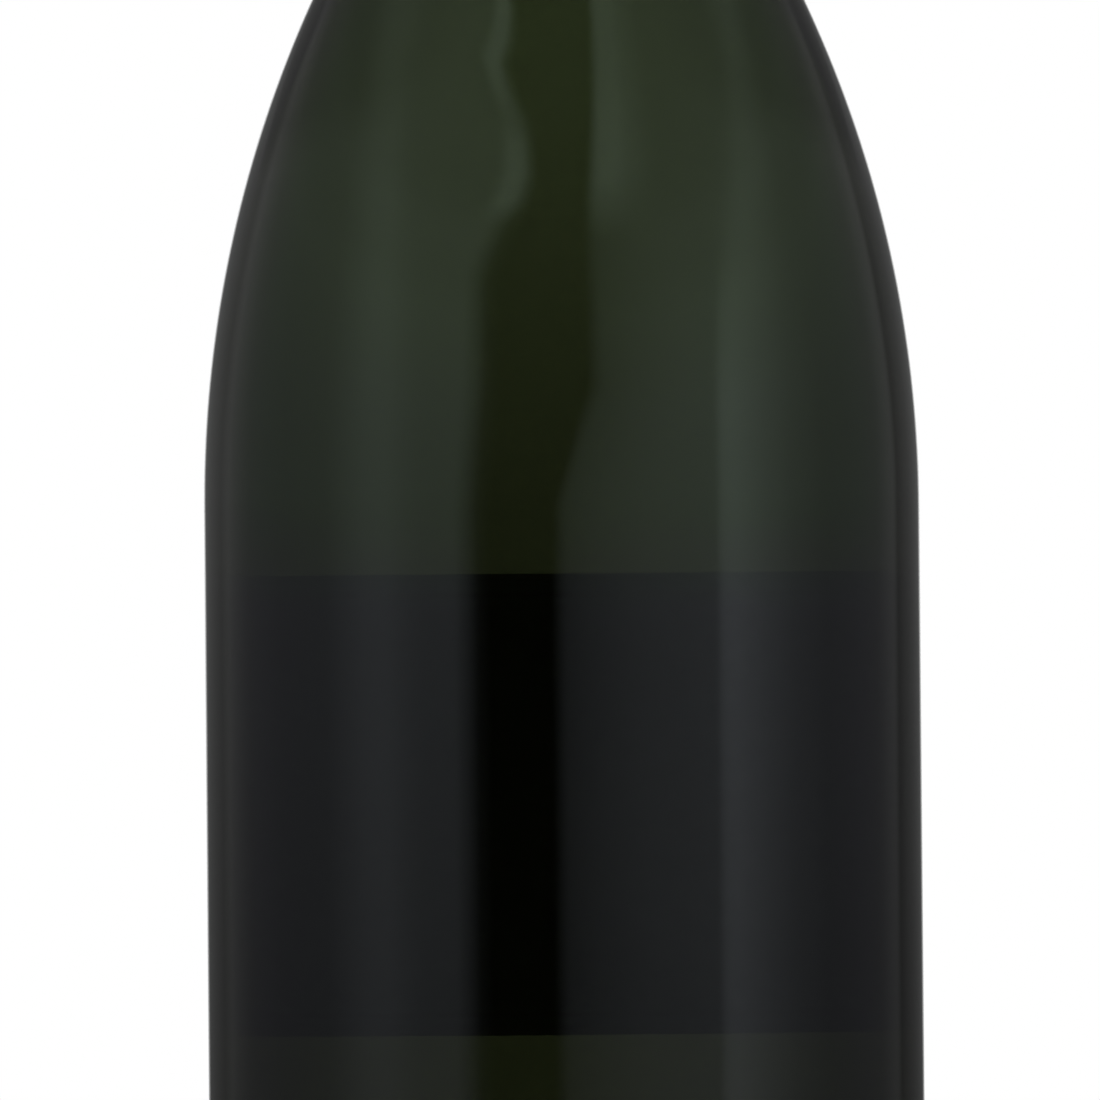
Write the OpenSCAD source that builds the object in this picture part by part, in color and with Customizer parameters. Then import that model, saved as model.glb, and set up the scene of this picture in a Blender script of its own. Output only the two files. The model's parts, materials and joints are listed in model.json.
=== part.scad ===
// A full 75 cl champagne bottle, corked, wired and foiled.
// Millimetres, +Z up. The origin is the centre of the ring that the bottle stands on.
// The key of the wire cage faces -Y and the label is on the +Y side.

/* [Glass body] */
// Diameter of the straight body
body_d = 88; // [82:1:96]
// Height of the lip above the table
glass_h = 300; // [294:1:312]
// Height where the shoulder leaves the straight body
shoulder_z = 121; // [114:1:124]
// Radius of the shoulder's outward curve
shoulder_r = 148; // [138:1:160]
// Height of the outward curve
shoulder_rise = 68; // [62:1:72]
// Glass thickness of the body, shoulder and neck
wall = 4.6; // [3.6:0.1:4.8]

/* [Base] */
// Radius of the rounded heel
heel_r = 9; // [7:0.5:11]
// Width of the flat ring that the bottle stands on
stand_w = 2.5; // [1.5:0.5:4]
// Width of the bevel inside that ring
stand_bevel = 1; // [0.5:0.1:1.5]
// Depth of the hollow under the base
punt_h = 34; // [26:1:40]
// Radius of the hollow's domed top
punt_top_r = 16; // [10:1:20]
// Glass thickness over the hollow
base_wall = 8; // [6:0.5:9]
// Radius of the inside corner between the wall and the hollow
valley_r = 3.5; // [2.5:0.25:4.5]

/* [Mouth] */
// Diameter of the straight bore that grips the cork
bore_d = 17.8; // [17:0.1:18.6]
// Length of the straight bore
bore_len = 28; // [26:1:34]
// Length over which the bore widens into the neck
bore_flare = 10; // [6:1:16]
// Rounding of the bore's edge at the lip
mouth_round = 1; // [0.5:0.1:1.5]
// Diameter of the bead round the lip
bead_d = 28.6; // [27.6:0.1:29.4]
// Height of the bead
bead_h = 5; // [4:0.1:6]
// Diameter of the recess under the bead
recess_d = 26.2; // [25:0.1:27]
// Height of the recess
recess_h = 4.5; // [3:0.1:6]
// Diameter of the ring that holds the wire cage down
ring_d = 31.4; // [30.4:0.1:32]
// Height of that ring
ring_h = 6; // [5:0.1:7]
// Rounding of the ring's and the bead's edges
edge_round = 1.2; // [0.6:0.1:1.6]
// Diameter of the neck just under the ring
neck_d = 27.5; // [26.8:0.1:28]
// Taper of the neck, in degrees on each side
neck_taper = 1.5; // [1:0.1:2]

/* [Wine] */
// Height of the wine's surface above the table
fill_z = 208; // [150:1:240]
// Clearance between the wine's solid and the glass
wine_gap = 0.1; // [0.05:0.05:0.3]

/* [Cork] */
// Length of cork inside the bore
cork_in = 24; // [20:1:26]
// Thickness of each of the two natural cork discs
disc_t = 6; // [4:0.5:7]
// Height of the mushroom head
head_h = 21; // [18:0.5:24]
// Diameter of the mushroom head
head_d = 30.6; // [28:0.2:31]
// Rounding of the head's upper edge
head_round = 3; // [2:0.1:4]
// Rounding of the head's lower edge
skirt_round = 2.7; // [2:0.1:4]
// Clearance all round between the cork and the bore
cork_gap = 0.05; // [0.02:0.01:0.1]
// Clearance between the head and the lip
lip_gap = 0.2; // [0.1:0.05:0.5]

/* [Plaque] */
// Thickness of the metal cap on the cork
plaque_t = 0.25; // [0.2:0.05:0.4]
// Width of the ledge that the top wire lies on
ledge_w = 1.7; // [1.4:0.1:2.2]
// Height of the cap's raised middle
crown_h = 1; // [0.6:0.1:1.1]
// Sweep of the cap's turned-down edge, in degrees
skirt_sweep = 34; // [20:1:40]
// Clearance between the cap and the cork
plaque_gap = 0.05; // [0.02:0.01:0.1]

/* [Wire cage] */
// Diameter of the cage's wire
cage_wire_d = 0.7; // [0.6:0.05:0.8]
// Diameter of the belt's and the key's wire
belt_wire_d = 0.9; // [0.8:0.05:1]
// Number of twisted legs
leg_count = 4; // [4]
// Radius of each leg's bend over the cork
leg_bend_r = 4; // [3.6:0.1:4.4]
// Clearance of the wires from the glass
wire_gap = 0.3; // [0.2:0.05:0.4]
// Clearance of the belt in the eyes of the legs
eye_gap = 0.1; // [0.05:0.05:0.2]

/* [Key] */
// Length of the key from its fold to its tip
key_len = 20.5; // [17:0.5:24]
// Width of the key's loop over its wire
key_w = 10.9; // [8:0.1:12]
// Length of the twisted stem below the loop
stem_len = 6; // [4:0.5:8]
// Length of the twisted root between the belt and the fold
root_len = 0.5; // [0.4:0.1:0.8]
// Clearance at the key's root and at its fold
key_gap = 0.05; // [0.02:0.01:0.1]
// How much the fold's radius exceeds the stem's
fold_swell = 0.1; // [0.05:0.05:0.2]

/* [Foil] */
// Length of the foil from its top to its lower edge
foil_len = 116; // [100:1:124]
// Thickness of the foil's solids
foil_t = 0.2; // [0.15:0.05:0.3]
// Clearance between the foil and what it wraps
foil_gap = 0.15; // [0.1:0.05:0.3]
// Height of the slope where the foil draws in under the cage
foil_draw = 10; // [7:0.5:14]
// Width of the tear strip
strip_w = 6; // [4:0.5:8]
// Gap where the foil is perforated for tearing
tear_gap = 0.2; // [0.1:0.05:0.3]
// Length of the pull tab
tab_len = 9; // [6:0.5:12]
// Thickness of the pull tab
tab_t = 0.3; // [0.2:0.05:0.4]
// Radius of the folded bead at the pull tab's root
tab_bead_r = 0.4; // [0.3:0.05:0.6]
// Direction of the pull tab's root round the neck, in degrees
tab_angle = -62; // [-80:1:-20]

/* [Label] */
// Height of the label
label_h = 57.4; // [30:0.2:62]
// Width of the label round the bottle
label_w = 84; // [40:1:120]
// Height of the label's lower edge
label_z = 55; // [20:1:60]
// Thickness of the label
label_t = 0.15; // [0.1:0.05:0.3]
// Clearance between the label and the glass
label_gap = 0.05; // [0.02:0.01:0.1]

/* [Hidden] */
$fn = 96;

// Steps of the rounded stretches in each outline
corner_steps = 6;
dome_steps = 10;
curve_steps = 44;

// Glass
body_r = body_d / 2;
bore_r = bore_d / 2;
bead_r = bead_d / 2;
recess_r = recess_d / 2;
ring_r = ring_d / 2;
neck_r = neck_d / 2;
bead_z = glass_h - bead_h;
ring_top = bead_z - recess_h;
ring_z = ring_top - ring_h;
bore_z = glass_h - bore_len;
flare_z = bore_z - bore_flare;

// The shoulder curves out round shoulder_c, then the neck curves in round sweep_c
turn = asin(shoulder_rise / shoulder_r);
shoulder_c = [body_r - shoulder_r, shoulder_z];
sweep_start = shoulder_c + shoulder_r * [cos(turn), sin(turn)];
sweep_r = (sweep_start[0] - neck_r - (ring_z - sweep_start[1]) * tan(neck_taper))
          / (cos(neck_taper) - cos(turn) - (sin(turn) - sin(neck_taper)) * tan(neck_taper));
sweep_c = sweep_start + sweep_r * [cos(turn), sin(turn)];

// Base
stand_out_r = body_r - heel_r;
stand_in_r = stand_out_r - stand_w;
punt_edge = [stand_in_r - stand_bevel, stand_bevel];
punt_c = [0, punt_h - punt_top_r];
punt_way = punt_c - punt_edge;
punt_normal = atan2(punt_way[1], punt_way[0]) - asin(punt_top_r / norm(punt_way)) - 90;
punt_dir = [cos(punt_normal), sin(punt_normal)];
punt_skin = punt_edge + base_wall * punt_dir;
valley_x = body_r - wall - valley_r;
valley_c = [valley_x,
            punt_skin[1] + (valley_r - (valley_x - punt_skin[0]) * punt_dir[0]) / punt_dir[1]];

// Cork
cork_r = bore_r - cork_gap;
head_r = head_d / 2;
cork_z = glass_h - cork_in;
head_z = glass_h + lip_gap;
cork_top = head_z + head_h;
head_flat_r = head_r - head_round;

// Plaque
plaque_z = cork_top + plaque_gap;
ledge_top = plaque_z + plaque_t;
crown_r = head_flat_r - ledge_w;

// Wire cage
cage_r = cage_wire_d / 2;
belt_r = belt_wire_d / 2;
eye_r = belt_r + eye_gap + cage_r;
eye_out_r = eye_r + cage_r;
belt_z = ring_z - wire_gap - eye_out_r;
belt_c = outer_r(belt_z - eye_out_r, 0) + wire_gap + eye_out_r;
leg_c = max(ring_r, head_r) + wire_gap + cage_wire_d;
top_wire_c = head_flat_r - ledge_w / 2;
top_wire_z = ledge_top + plaque_gap + cage_r;
leg_z = ledge_top + plaque_gap + cage_wire_d;
leg_bend_c = leg_c - leg_bend_r;

// Key
root_in = belt_c + belt_r + key_gap;
root_out = root_in + root_len;
fold_r = belt_wire_d + fold_swell;
key_c = root_out + key_gap + fold_r;
loop_r = key_w / 2 - belt_r;
loop_low = belt_z + stem_len + loop_r;
loop_high = belt_z + key_len - belt_r - loop_r;

// Foil
foil_in_r = norm([key_c + belt_r, key_w / 2]) + foil_gap;
foil_in_z = leg_z + cage_wire_d + foil_gap;
foil_head_r = leg_c + cage_wire_d + foil_gap;
foil_round = leg_bend_r + cage_wire_d + foil_gap;
foil_belly_z = belt_z + key_len;
foil_top = foil_in_z + foil_t;
foil_foot = foil_top - foil_len;
draw_top = belt_z - eye_out_r - foil_gap;
cap_z = draw_top - foil_draw;
strip_top = cap_z - tear_gap;
strip_z = strip_top - strip_w;
sleeve_top = strip_z - tear_gap;
tab_c = outer_r(strip_z, -foil_gap - foil_t) + foil_gap + tab_bead_r;
tab_margin = strip_w / 12;

// Points along an arc round c
function arc(c, r, from, to, steps) =
    [for (i = [0 : steps]) let (a = from + (to - from) * i / steps) c + r * [cos(a), sin(a)]];

// Radius of the glass at height z on the skin that lies depth inside its outer face
function outer_r(z, depth) =
    z <= shoulder_z ? body_r - depth :
    z <= shoulder_z + (shoulder_r - depth) * sin(turn)
        ? shoulder_c[0] + sqrt((shoulder_r - depth) ^ 2 - (z - shoulder_z) ^ 2) :
    z <= sweep_c[1] - (sweep_r + depth) * sin(neck_taper)
        ? sweep_c[0] - sqrt((sweep_r + depth) ^ 2 - (sweep_c[1] - z) ^ 2) :
    neck_r + (ring_z - z) * tan(neck_taper) - depth / cos(neck_taper);

// Points up that skin from one height to another
function skin(from, to, depth, steps) =
    [for (i = [0 : steps]) let (z = from + (to - from) * i / steps) [outer_r(z, depth), z]];

// The inside of the base from the wall to the axis, on a skin that lies lift above the glass
function base_inside(lift) = concat(
    arc(valley_c, valley_r - lift, 0, punt_normal - 180, dome_steps),
    arc(punt_c, punt_top_r + base_wall + lift, punt_normal, 90, dome_steps));

module ring_wire(r, wire_r) {
    rotate_extrude() translate([r, 0]) circle(r = wire_r, $fn = 24);
}

// Points up the foil's slope under the cage, eased in at both ends
function draw_in(lift) =
    let (low_r = outer_r(cap_z, -foil_gap))
    [for (i = [0 : dome_steps]) let (part = i / dome_steps)
        [low_r + lift + (foil_in_r - low_r) * (1 - cos(180 * part)) / 2, cap_z + foil_draw * part]];

// Points from the last to the first
function backwards(points) = [for (i = [1 : len(points)]) points[len(points) - i]];

// Half the outline of the foil cap's inner or outer face, from its lower edge to the axis
function cap_face(lift) = concat(
    draw_in(lift),
    [[foil_in_r + lift, foil_belly_z]],
    arc([foil_head_r - foil_round, foil_in_z - foil_round], foil_round + lift, 0, 90, dome_steps),
    [[0, foil_in_z + lift]]);

// A closed sleeve of foil over the glass between two heights
module neck_foil(low, high, steps) {
    rotate_extrude()
        polygon(concat(skin(low, high, -foil_gap, steps),
                       skin(high, low, -foil_gap - foil_t, steps)));
}

module glass_bottle() {
    color([0.05, 0.10, 0.05, 0.8]) rotate_extrude() polygon(concat(
        [[stand_in_r, 0]],
        arc([stand_out_r, heel_r], heel_r, -90, 0, dome_steps),
        skin(shoulder_z, ring_z, 0, curve_steps),
        arc([ring_r - edge_round, ring_z + edge_round], edge_round, -90, 0, corner_steps),
        arc([ring_r - edge_round, ring_top - edge_round], edge_round, 0, 90, corner_steps),
        [[recess_r, ring_top], [recess_r, bead_z]],
        arc([bead_r - edge_round, bead_z + edge_round], edge_round, -90, 0, corner_steps),
        arc([bead_r - edge_round, glass_h - edge_round], edge_round, 0, 90, corner_steps),
        arc([bore_r + mouth_round, glass_h - mouth_round], mouth_round, 90, 180, corner_steps),
        [[bore_r, bore_z]],
        skin(flare_z, shoulder_z, wall, curve_steps),
        base_inside(0),
        arc(punt_c, punt_top_r, 90, punt_normal, dome_steps),
        [punt_edge]));
}

module wine() {
    color([0.80, 0.68, 0.28, 0.5]) rotate_extrude() polygon(concat(
        [[0, fill_z]],
        skin(fill_z, shoulder_z, wall + wine_gap, curve_steps),
        base_inside(wine_gap)));
}

module back_label() {
    inner = body_r + label_gap;
    sweep = label_w / inner * 180 / PI;
    color([0.93, 0.91, 0.85]) rotate([0, 0, 90 - sweep / 2]) rotate_extrude(angle = sweep)
        translate([inner, label_z]) square([label_t, label_h]);
}

module cork_body() {
    color([0.76, 0.58, 0.38]) rotate_extrude() polygon(concat(
        [[0, cork_z + 2 * disc_t], [cork_r, cork_z + 2 * disc_t], [cork_r, head_z]],
        arc([head_r - skirt_round, head_z + skirt_round], skirt_round, -90, 0, corner_steps),
        arc([head_flat_r, cork_top - head_round], head_round, 0, 90, corner_steps),
        [[0, cork_top]]));
}

module cork_disc(n) {
    color([0.70, 0.52, 0.33]) translate([0, 0, cork_z + n * disc_t]) cylinder(r = cork_r, h = disc_t);
}

module cork_disc_upper() {
    cork_disc(1);
}

module cork_disc_lower() {
    cork_disc(0);
}

// Pressed sheet with a raised middle, a ledge for the top wire and a turned-down edge
module plaque() {
    edge_c = [head_flat_r, cork_top - head_round];
    edge_r = head_round + plaque_gap;
    color([0.80, 0.66, 0.34]) rotate_extrude() polygon(concat(
        [[0, plaque_z + crown_h], [crown_r - crown_h, plaque_z + crown_h], [crown_r, plaque_z]],
        arc(edge_c, edge_r, 90, 90 - skirt_sweep, corner_steps),
        arc(edge_c, edge_r + plaque_t, 90 - skirt_sweep, 90, corner_steps),
        [[crown_r, ledge_top], [crown_r - crown_h, ledge_top + crown_h], [0, ledge_top + crown_h]]));
}

// One twisted leg, drawn as the round rod that its two strands fill, with its eye
module cage_leg() {
    translate([top_wire_c, 0, leg_z]) rotate([0, 90, 0])
        cylinder(r = cage_wire_d, h = leg_bend_c - top_wire_c, $fn = 24);
    translate([leg_bend_c, 0, leg_z - leg_bend_r]) rotate([90, 0, 0]) rotate_extrude(angle = 90)
        translate([leg_bend_r, 0]) circle(r = cage_wire_d, $fn = 24);
    translate([leg_c, 0, belt_z])
        cylinder(r = cage_wire_d, h = leg_z - leg_bend_r - belt_z, $fn = 24);
    translate([belt_c, 0, belt_z]) rotate([90, 0, 0]) ring_wire(eye_r, cage_r);
}

module cage_wire() {
    color([0.72, 0.72, 0.70]) {
        translate([0, 0, top_wire_z]) ring_wire(top_wire_c, cage_r);
        for (i = [0 : leg_count - 1]) rotate([0, 0, (i + 0.5) * 360 / leg_count]) cage_leg();
    }
}

module cage_belt() {
    color([0.72, 0.72, 0.70]) translate([0, 0, belt_z]) ring_wire(belt_c, belt_r);
}

module key_root() {
    color([0.72, 0.72, 0.70]) translate([0, -root_in, belt_z]) rotate([90, 0, 0])
        cylinder(r = belt_wire_d, h = root_len, $fn = 24);
}

module half_loop() {
    rotate([90, 0, 0]) rotate_extrude(angle = 180)
        translate([loop_r, 0]) circle(r = belt_r, $fn = 24);
}

module key_loop() {
    color([0.72, 0.72, 0.70]) translate([0, -key_c, 0]) {
        translate([-fold_r, 0, belt_z]) rotate([0, 90, 0]) cylinder(r = fold_r, h = 2 * fold_r, $fn = 24);
        translate([0, 0, belt_z]) cylinder(r = belt_wire_d, h = stem_len, $fn = 24);
        translate([0, 0, loop_low]) rotate([0, 180, 0]) half_loop();
        translate([0, 0, loop_high]) half_loop();
        for (side = [-1, 1]) translate([side * loop_r, 0, loop_low])
            cylinder(r = belt_r, h = loop_high - loop_low, $fn = 24);
    }
}

module foil_cap() {
    color([0.78, 0.62, 0.30]) rotate_extrude()
        polygon(concat(cap_face(0), backwards(cap_face(foil_t))));
}

module tear_strip() {
    color([0.85, 0.72, 0.42]) neck_foil(strip_z, strip_top, 1);
}

module tear_tab() {
    tab_h = strip_w - 2 * tab_margin;
    color([0.85, 0.72, 0.42]) rotate([0, 0, tab_angle]) translate([0, 0, strip_z + tab_margin]) {
        translate([tab_c, 0, 0]) cylinder(r = tab_bead_r, h = tab_h, $fn = 24);
        rotate_extrude(angle = tab_len / tab_c * 180 / PI)
            translate([tab_c - tab_t / 2, 0]) square([tab_t, tab_h]);
    }
}

module foil_sleeve() {
    color([0.78, 0.62, 0.30]) neck_foil(foil_foot, sleeve_top, curve_steps / 2);
}

glass_bottle();
wine();
back_label();
cork_body();
cork_disc_upper();
cork_disc_lower();
plaque();
cage_wire();
cage_belt();
key_root();
key_loop();
foil_cap();
tear_strip();
tear_tab();
foil_sleeve();
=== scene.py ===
import json
from math import acos, asin, atan2, cos, exp, floor, hypot, pi, radians, sin, sqrt, tan

import bmesh
import bpy
from bpy.props import (FloatProperty, FloatVectorProperty, IntProperty,
                       PointerProperty)
from bpy.types import Operator, Panel, PropertyGroup
from mathutils import Matrix, Vector, noise


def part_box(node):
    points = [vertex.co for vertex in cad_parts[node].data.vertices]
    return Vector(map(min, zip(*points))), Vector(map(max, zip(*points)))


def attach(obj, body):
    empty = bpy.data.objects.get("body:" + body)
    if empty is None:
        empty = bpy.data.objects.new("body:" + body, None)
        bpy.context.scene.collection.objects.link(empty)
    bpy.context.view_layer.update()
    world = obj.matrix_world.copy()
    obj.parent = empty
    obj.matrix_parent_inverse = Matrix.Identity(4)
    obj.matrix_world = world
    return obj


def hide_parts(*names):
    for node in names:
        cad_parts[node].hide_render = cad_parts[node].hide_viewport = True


bl_info = {
    "name": "Champagne bottle",
    "version": (1, 0, 0),
    "blender": (4, 5, 0),
    "location": "3D View > Sidebar > Bottle",
    "description": "Builds a corked, wired and foiled champagne bottle round its packed CAD frame",
    "category": "Object",
}

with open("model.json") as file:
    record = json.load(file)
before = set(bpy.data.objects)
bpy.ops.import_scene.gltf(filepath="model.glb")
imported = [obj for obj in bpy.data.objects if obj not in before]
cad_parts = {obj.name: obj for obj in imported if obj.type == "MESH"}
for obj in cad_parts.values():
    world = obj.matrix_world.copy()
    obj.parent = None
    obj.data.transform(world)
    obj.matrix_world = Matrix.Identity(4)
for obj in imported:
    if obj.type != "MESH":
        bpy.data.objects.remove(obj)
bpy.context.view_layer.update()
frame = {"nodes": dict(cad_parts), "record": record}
GLASS_LOW, GLASS_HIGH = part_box("glass_bottle")
LABEL_LOW, LABEL_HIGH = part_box("back_label")
CAP_LOW, CAP_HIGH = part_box("foil_cap")
STRIP_LOW, STRIP_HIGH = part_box("tear_strip")
TAB_LOW, TAB_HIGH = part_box("tear_tab")
SLEEVE_LOW, SLEEVE_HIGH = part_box("foil_sleeve")
BELT_LOW, BELT_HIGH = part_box("cage_belt")
CORK_LOW, CORK_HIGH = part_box("cork_body")
WINE_LOW, WINE_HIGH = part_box("wine")
SLOTS = {m["slot"]: m for m in frame["record"]["materials"]}
MM = 0.001
TAB_BEAD_R = 0.4 * MM
# Heights over and under the thinnest place of the wall, within which it reaches its full thickness
WALL_SPAN_UP, WALL_SPAN_DOWN = 36 * MM, 90 * MM


# Sizes and colours that a user would change


def length(name, description, default):
    return FloatProperty(name=name, description=description, default=default, min=0.0,
                         unit="LENGTH", precision=5)


def angle(name, description, degrees):
    return FloatProperty(name=name, description=description, default=radians(degrees),
                         subtype="ANGLE")


def share(name, description, default):
    return FloatProperty(name=name, description=description, default=default, min=0.0, max=1.0,
                         subtype="FACTOR")


def colour(name, description, default):
    return FloatVectorProperty(name=name, description=description, default=default, min=0.0,
                               max=1.0, size=3, subtype="COLOR")


def slot_colour(slot):
    return SLOTS[slot]["base_color"][:3]


class BottleGlass(PropertyGroup):
    body_r: length("Body radius", "Radius of the straight body", GLASS_HIGH.x)
    height: length("Height", "Height of the lip", GLASS_HIGH.z)
    shoulder_z: length("Shoulder height", "Where the shoulder leaves the body", 121 * MM)
    shoulder_r: length("Shoulder radius", "Radius of the shoulder's curve", 148 * MM)
    shoulder_rise: length("Shoulder rise", "Height of the shoulder's curve", 68 * MM)
    wall: length("Wall", "Thickness of the glass in the neck", 4.6 * MM)
    shoulder_wall: length("Shoulder wall", "Thickness of the glass high on the shoulder", 3.85 * MM)
    body_wall: length("Body wall", "Thickness of the glass in the body", 5.45 * MM)
    heel_r: length("Heel radius", "Radius of the rounded heel", 9 * MM)
    stand_w: length("Stand width", "Width of the ring it stands on", 2.5 * MM)
    stand_bevel: length("Stand bevel", "Bevel inside that ring", 1 * MM)
    punt_h: length("Punt depth", "Depth of the hollow under the base", 34 * MM)
    punt_top_r: length("Punt top radius", "Radius of the hollow's dome", 16 * MM)
    base_wall: length("Base thickness", "Glass over the hollow", 8 * MM)
    valley_r: length("Valley radius", "Inside corner round the hollow", 3.5 * MM)
    bore_r: length("Bore radius", "Radius of the bore", 8.9 * MM)
    bore_len: length("Bore length", "Length of the straight bore", 28 * MM)
    bore_flare: length("Bore flare", "Length over which the bore widens", 10 * MM)
    mouth_round: length("Mouth rounding", "Rounding of the bore's edge", 1 * MM)
    bead_r: length("Bead radius", "Radius of the bead round the lip", 14.3 * MM)
    bead_h: length("Bead height", "Height of the bead", 5 * MM)
    recess_r: length("Recess radius", "Radius under the bead", 13.1 * MM)
    recess_h: length("Recess height", "Height of the recess", 4.5 * MM)
    ring_r: length("Ring radius", "Radius of the ring under the recess", 15.7 * MM)
    ring_h: length("Ring height", "Height of that ring", 6 * MM)
    edge_round: length("Edge rounding", "Rounding of ring and bead", 1.2 * MM)
    neck_r: length("Neck radius", "Radius of the neck under the ring", 13.75 * MM)
    neck_taper: angle("Neck taper", "Taper of each side of the neck", 1.5)
    segments: IntProperty(name="Segments", description="Faces round the bottle", default=256, min=24)
    absorb: FloatProperty(name="Absorption", description="How fast the glass darkens, per metre",
                          default=900.0, min=0.0)
    tint: colour("Glass tint", "Colour that the glass lets through", (0.557, 0.526, 0.518))
    skin: colour("Skin tint", "Colour that each pass through its skin lets through", (0.75, 1.0, 0.685))
    gleam: colour("Gleam tint", "Colour of what the glass mirrors", (0.92, 1.0, 0.95))
    index: FloatProperty(name="Index", description="Refractive index of the glass", default=1.5)


class BottleFilling(PropertyGroup):
    overlap: length("Overlap", "How far the wine reaches into the glass", 0.03 * MM)
    meniscus: length("Meniscus", "How far the wine climbs the glass", 1.2 * MM)
    index: FloatProperty(name="Index", description="Refractive index of the wine", default=1.34)
    absorb: FloatProperty(name="Absorption", description="How fast the wine tints, per metre",
                          default=12.0, min=0.0)
    tint: colour("Wine tint", "Colour that the wine lets through", (0.95, 0.92, 0.75))


class BottlePaper(PropertyGroup):
    gap: length("Gap", "Clearance from the glass", 0.05 * MM)
    thickness: length("Thickness", "Thickness of the paper", 0.15 * MM)
    corner: length("Corner radius", "Radius of the label's corners", 2.5 * MM)
    border: length("Border", "Distance of the ruled line from the edge", 2.6 * MM)
    paper: colour("Paper", "Colour of the label's paper", slot_colour("label_paper"))
    rule: colour("Rule", "Colour of the ruled line", (0.55, 0.43, 0.20))


class BottleCork(PropertyGroup):
    granule: length("Granule size", "Size of the cork's granules", 2.2 * MM)
    light: colour("Light granules", "Colour of the palest granules", (0.80, 0.60, 0.38))
    dark: colour("Dark granules", "Colour of the darkest granules", (0.46, 0.29, 0.15))
    disc: colour("Disc", "Colour of the natural cork discs", slot_colour("cork_disc"))


class BottleWire(PropertyGroup):
    cage_r: length("Cage wire radius", "Radius of each strand of the cage", 0.35 * MM)
    belt_r: length("Belt wire radius", "Radius of the belt's and the key's wire", 0.45 * MM)
    lay: length("Lay length", "Length of one turn of the twisted legs", 3.4 * MM)
    key_lay: length("Key lay length", "Length of one turn of the key's stem", 3.9 * MM)
    top_c: length("Top ring radius", "Radius of the ring on the plaque", 11.45 * MM)
    top_z: length("Top ring height", "Height of that ring", 321.9 * MM)
    leg_z: length("Leg height", "Height of the legs over the cork", 322.25 * MM)
    leg_c: length("Leg radius", "Distance of the legs from the axis", 16.7 * MM)
    bend_r: length("Bend radius", "Radius of the bend over the cork", 4 * MM)
    eye_r: length("Eye radius", "Radius of each eye's centre line", 0.9 * MM)
    key_c: length("Key distance", "Distance of the key from the axis", 17.4233 * MM)
    key_w: length("Key width", "Width of the key's loop", 10.9 * MM)
    key_len: length("Key length", "Length of the key from its fold", 20.5 * MM)
    stem: length("Stem length", "Length of the twisted stem", 6 * MM)
    root_in: length("Root distance", "Distance of the root's inner end from the axis", 15.8733 * MM)
    root_len: length("Root length", "Length of the twisted root", 0.5 * MM)
    steel: colour("Wire", "Colour of the wire", slot_colour("wire"))


class BottleFoil(PropertyGroup):
    sheet: length("Sheet", "Thickness of the foil", 0.1 * MM)
    gap: length("Gap", "Clearance between foil and glass", 0.15 * MM)
    solid: length("Solid", "Thickness of the CAD's foil", 0.2 * MM)
    draw: length("Draw", "Height of the slope under the cage", 10 * MM)
    belly_r: length("Belly radius", "Inner radius over the key", 18.8358 * MM)
    belly_z: length("Belly height", "Height of the key's tip", 303.45 * MM)
    head_r: length("Head radius", "Inner radius over the cork's head", 17.55 * MM)
    top_z: length("Top height", "Inner height over the cork", 323.1 * MM)
    round_r: length("Rounding", "Rounding of the cap's upper edge", 4.85 * MM)
    crease: length("Crease depth", "Depth of the fine creases", 0.10 * MM)
    pleat: length("Pleat depth", "Depth of the gathered pleats", 0.5 * MM)
    pleats: IntProperty(name="Pleats", description="Pleats round the cap", default=40, min=4)
    over_leg: length("Over the legs", "Outer radius of the foil over the cage's legs", 17.62 * MM)
    over_key: length("Over the key", "Outer radius of the foil over the key", 18.95 * MM)
    rows: IntProperty(name="Rows", description="Rows of faces down the cap", default=100, min=10)
    columns: IntProperty(name="Columns", description="Faces round the foil", default=360, min=32)
    tab_turn: angle("Tab turn", "Direction of the pull tab's hinge", -62)
    tab_c: length("Tab distance", "Distance of the pull tab from the axis", 15.15 * MM)
    tab_len: length("Tab length", "Length of the pull tab", 9 * MM)
    tab_sheet: length("Tab sheet", "Thickness of the pull tab", 0.16 * MM)
    tab_curl: length("Tab curl", "How far the tab's free end curls up", 0.7 * MM)
    tab_corner: length("Tab corner", "Radius of the tab's corners", 1.8 * MM)
    gold: colour("Foil", "Colour of the foil", (0.92, 0.65, 0.33))
    strip: colour("Strip", "Colour of the tear strip", (0.93, 0.74, 0.45))


class BottlePlaque(PropertyGroup):
    metal: colour("Plaque", "Colour of the plaque", slot_colour("plaque_metal"))


class BottleStudio(PropertyGroup):
    view_height: length("View height", "Height of the photograph's centre", 115.5 * MM)
    view_size: length("View size", "Width of the photograph at the bottle", 135.3 * MM)
    view_side: length("View side", "How far the bottle stands right of the centre", 1.48 * MM)
    distance: length("Distance", "Distance of the camera from the bottle", 1.5)
    roll: angle("Roll", "Lean of the photograph", 0.49)
    level: FloatProperty(name="Level", description="Light that falls on matt surfaces", default=0.72)
    box_light: FloatProperty(name="Box light", description="Brightness of the softboxes", default=1.04)
    low_colour: colour("Low colour", "Colour of the softboxes under the horizon", (0.89, 0.876, 0.995))
    box_colour: colour("Box colour", "Colour of the softboxes", (0.87, 1.0, 0.915))
    top_colour: colour("Top colour", "Colour of the softboxes overhead", (0.84, 1.0, 0.83))
    back_colour: colour("Back colour", "Colour of the backdrop beside the softboxes", (0.875, 0.88, 0.88))
    gap_lean: FloatProperty(name="Gap lean", description="How far the dark gap leans to the right "
                            "overhead, in degrees", default=14.0)
    flare: FloatProperty(name="Flare", description="How far the softboxes open out overhead, in degrees",
                         default=163.0)
    floor: colour("Floor", "Colour of the floor", (0.93, 0.93, 0.92))
    floor_r: length("Floor radius", "Radius of the floor", 0.85)


# Outlines, in metres, as points (radius, height)


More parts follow.
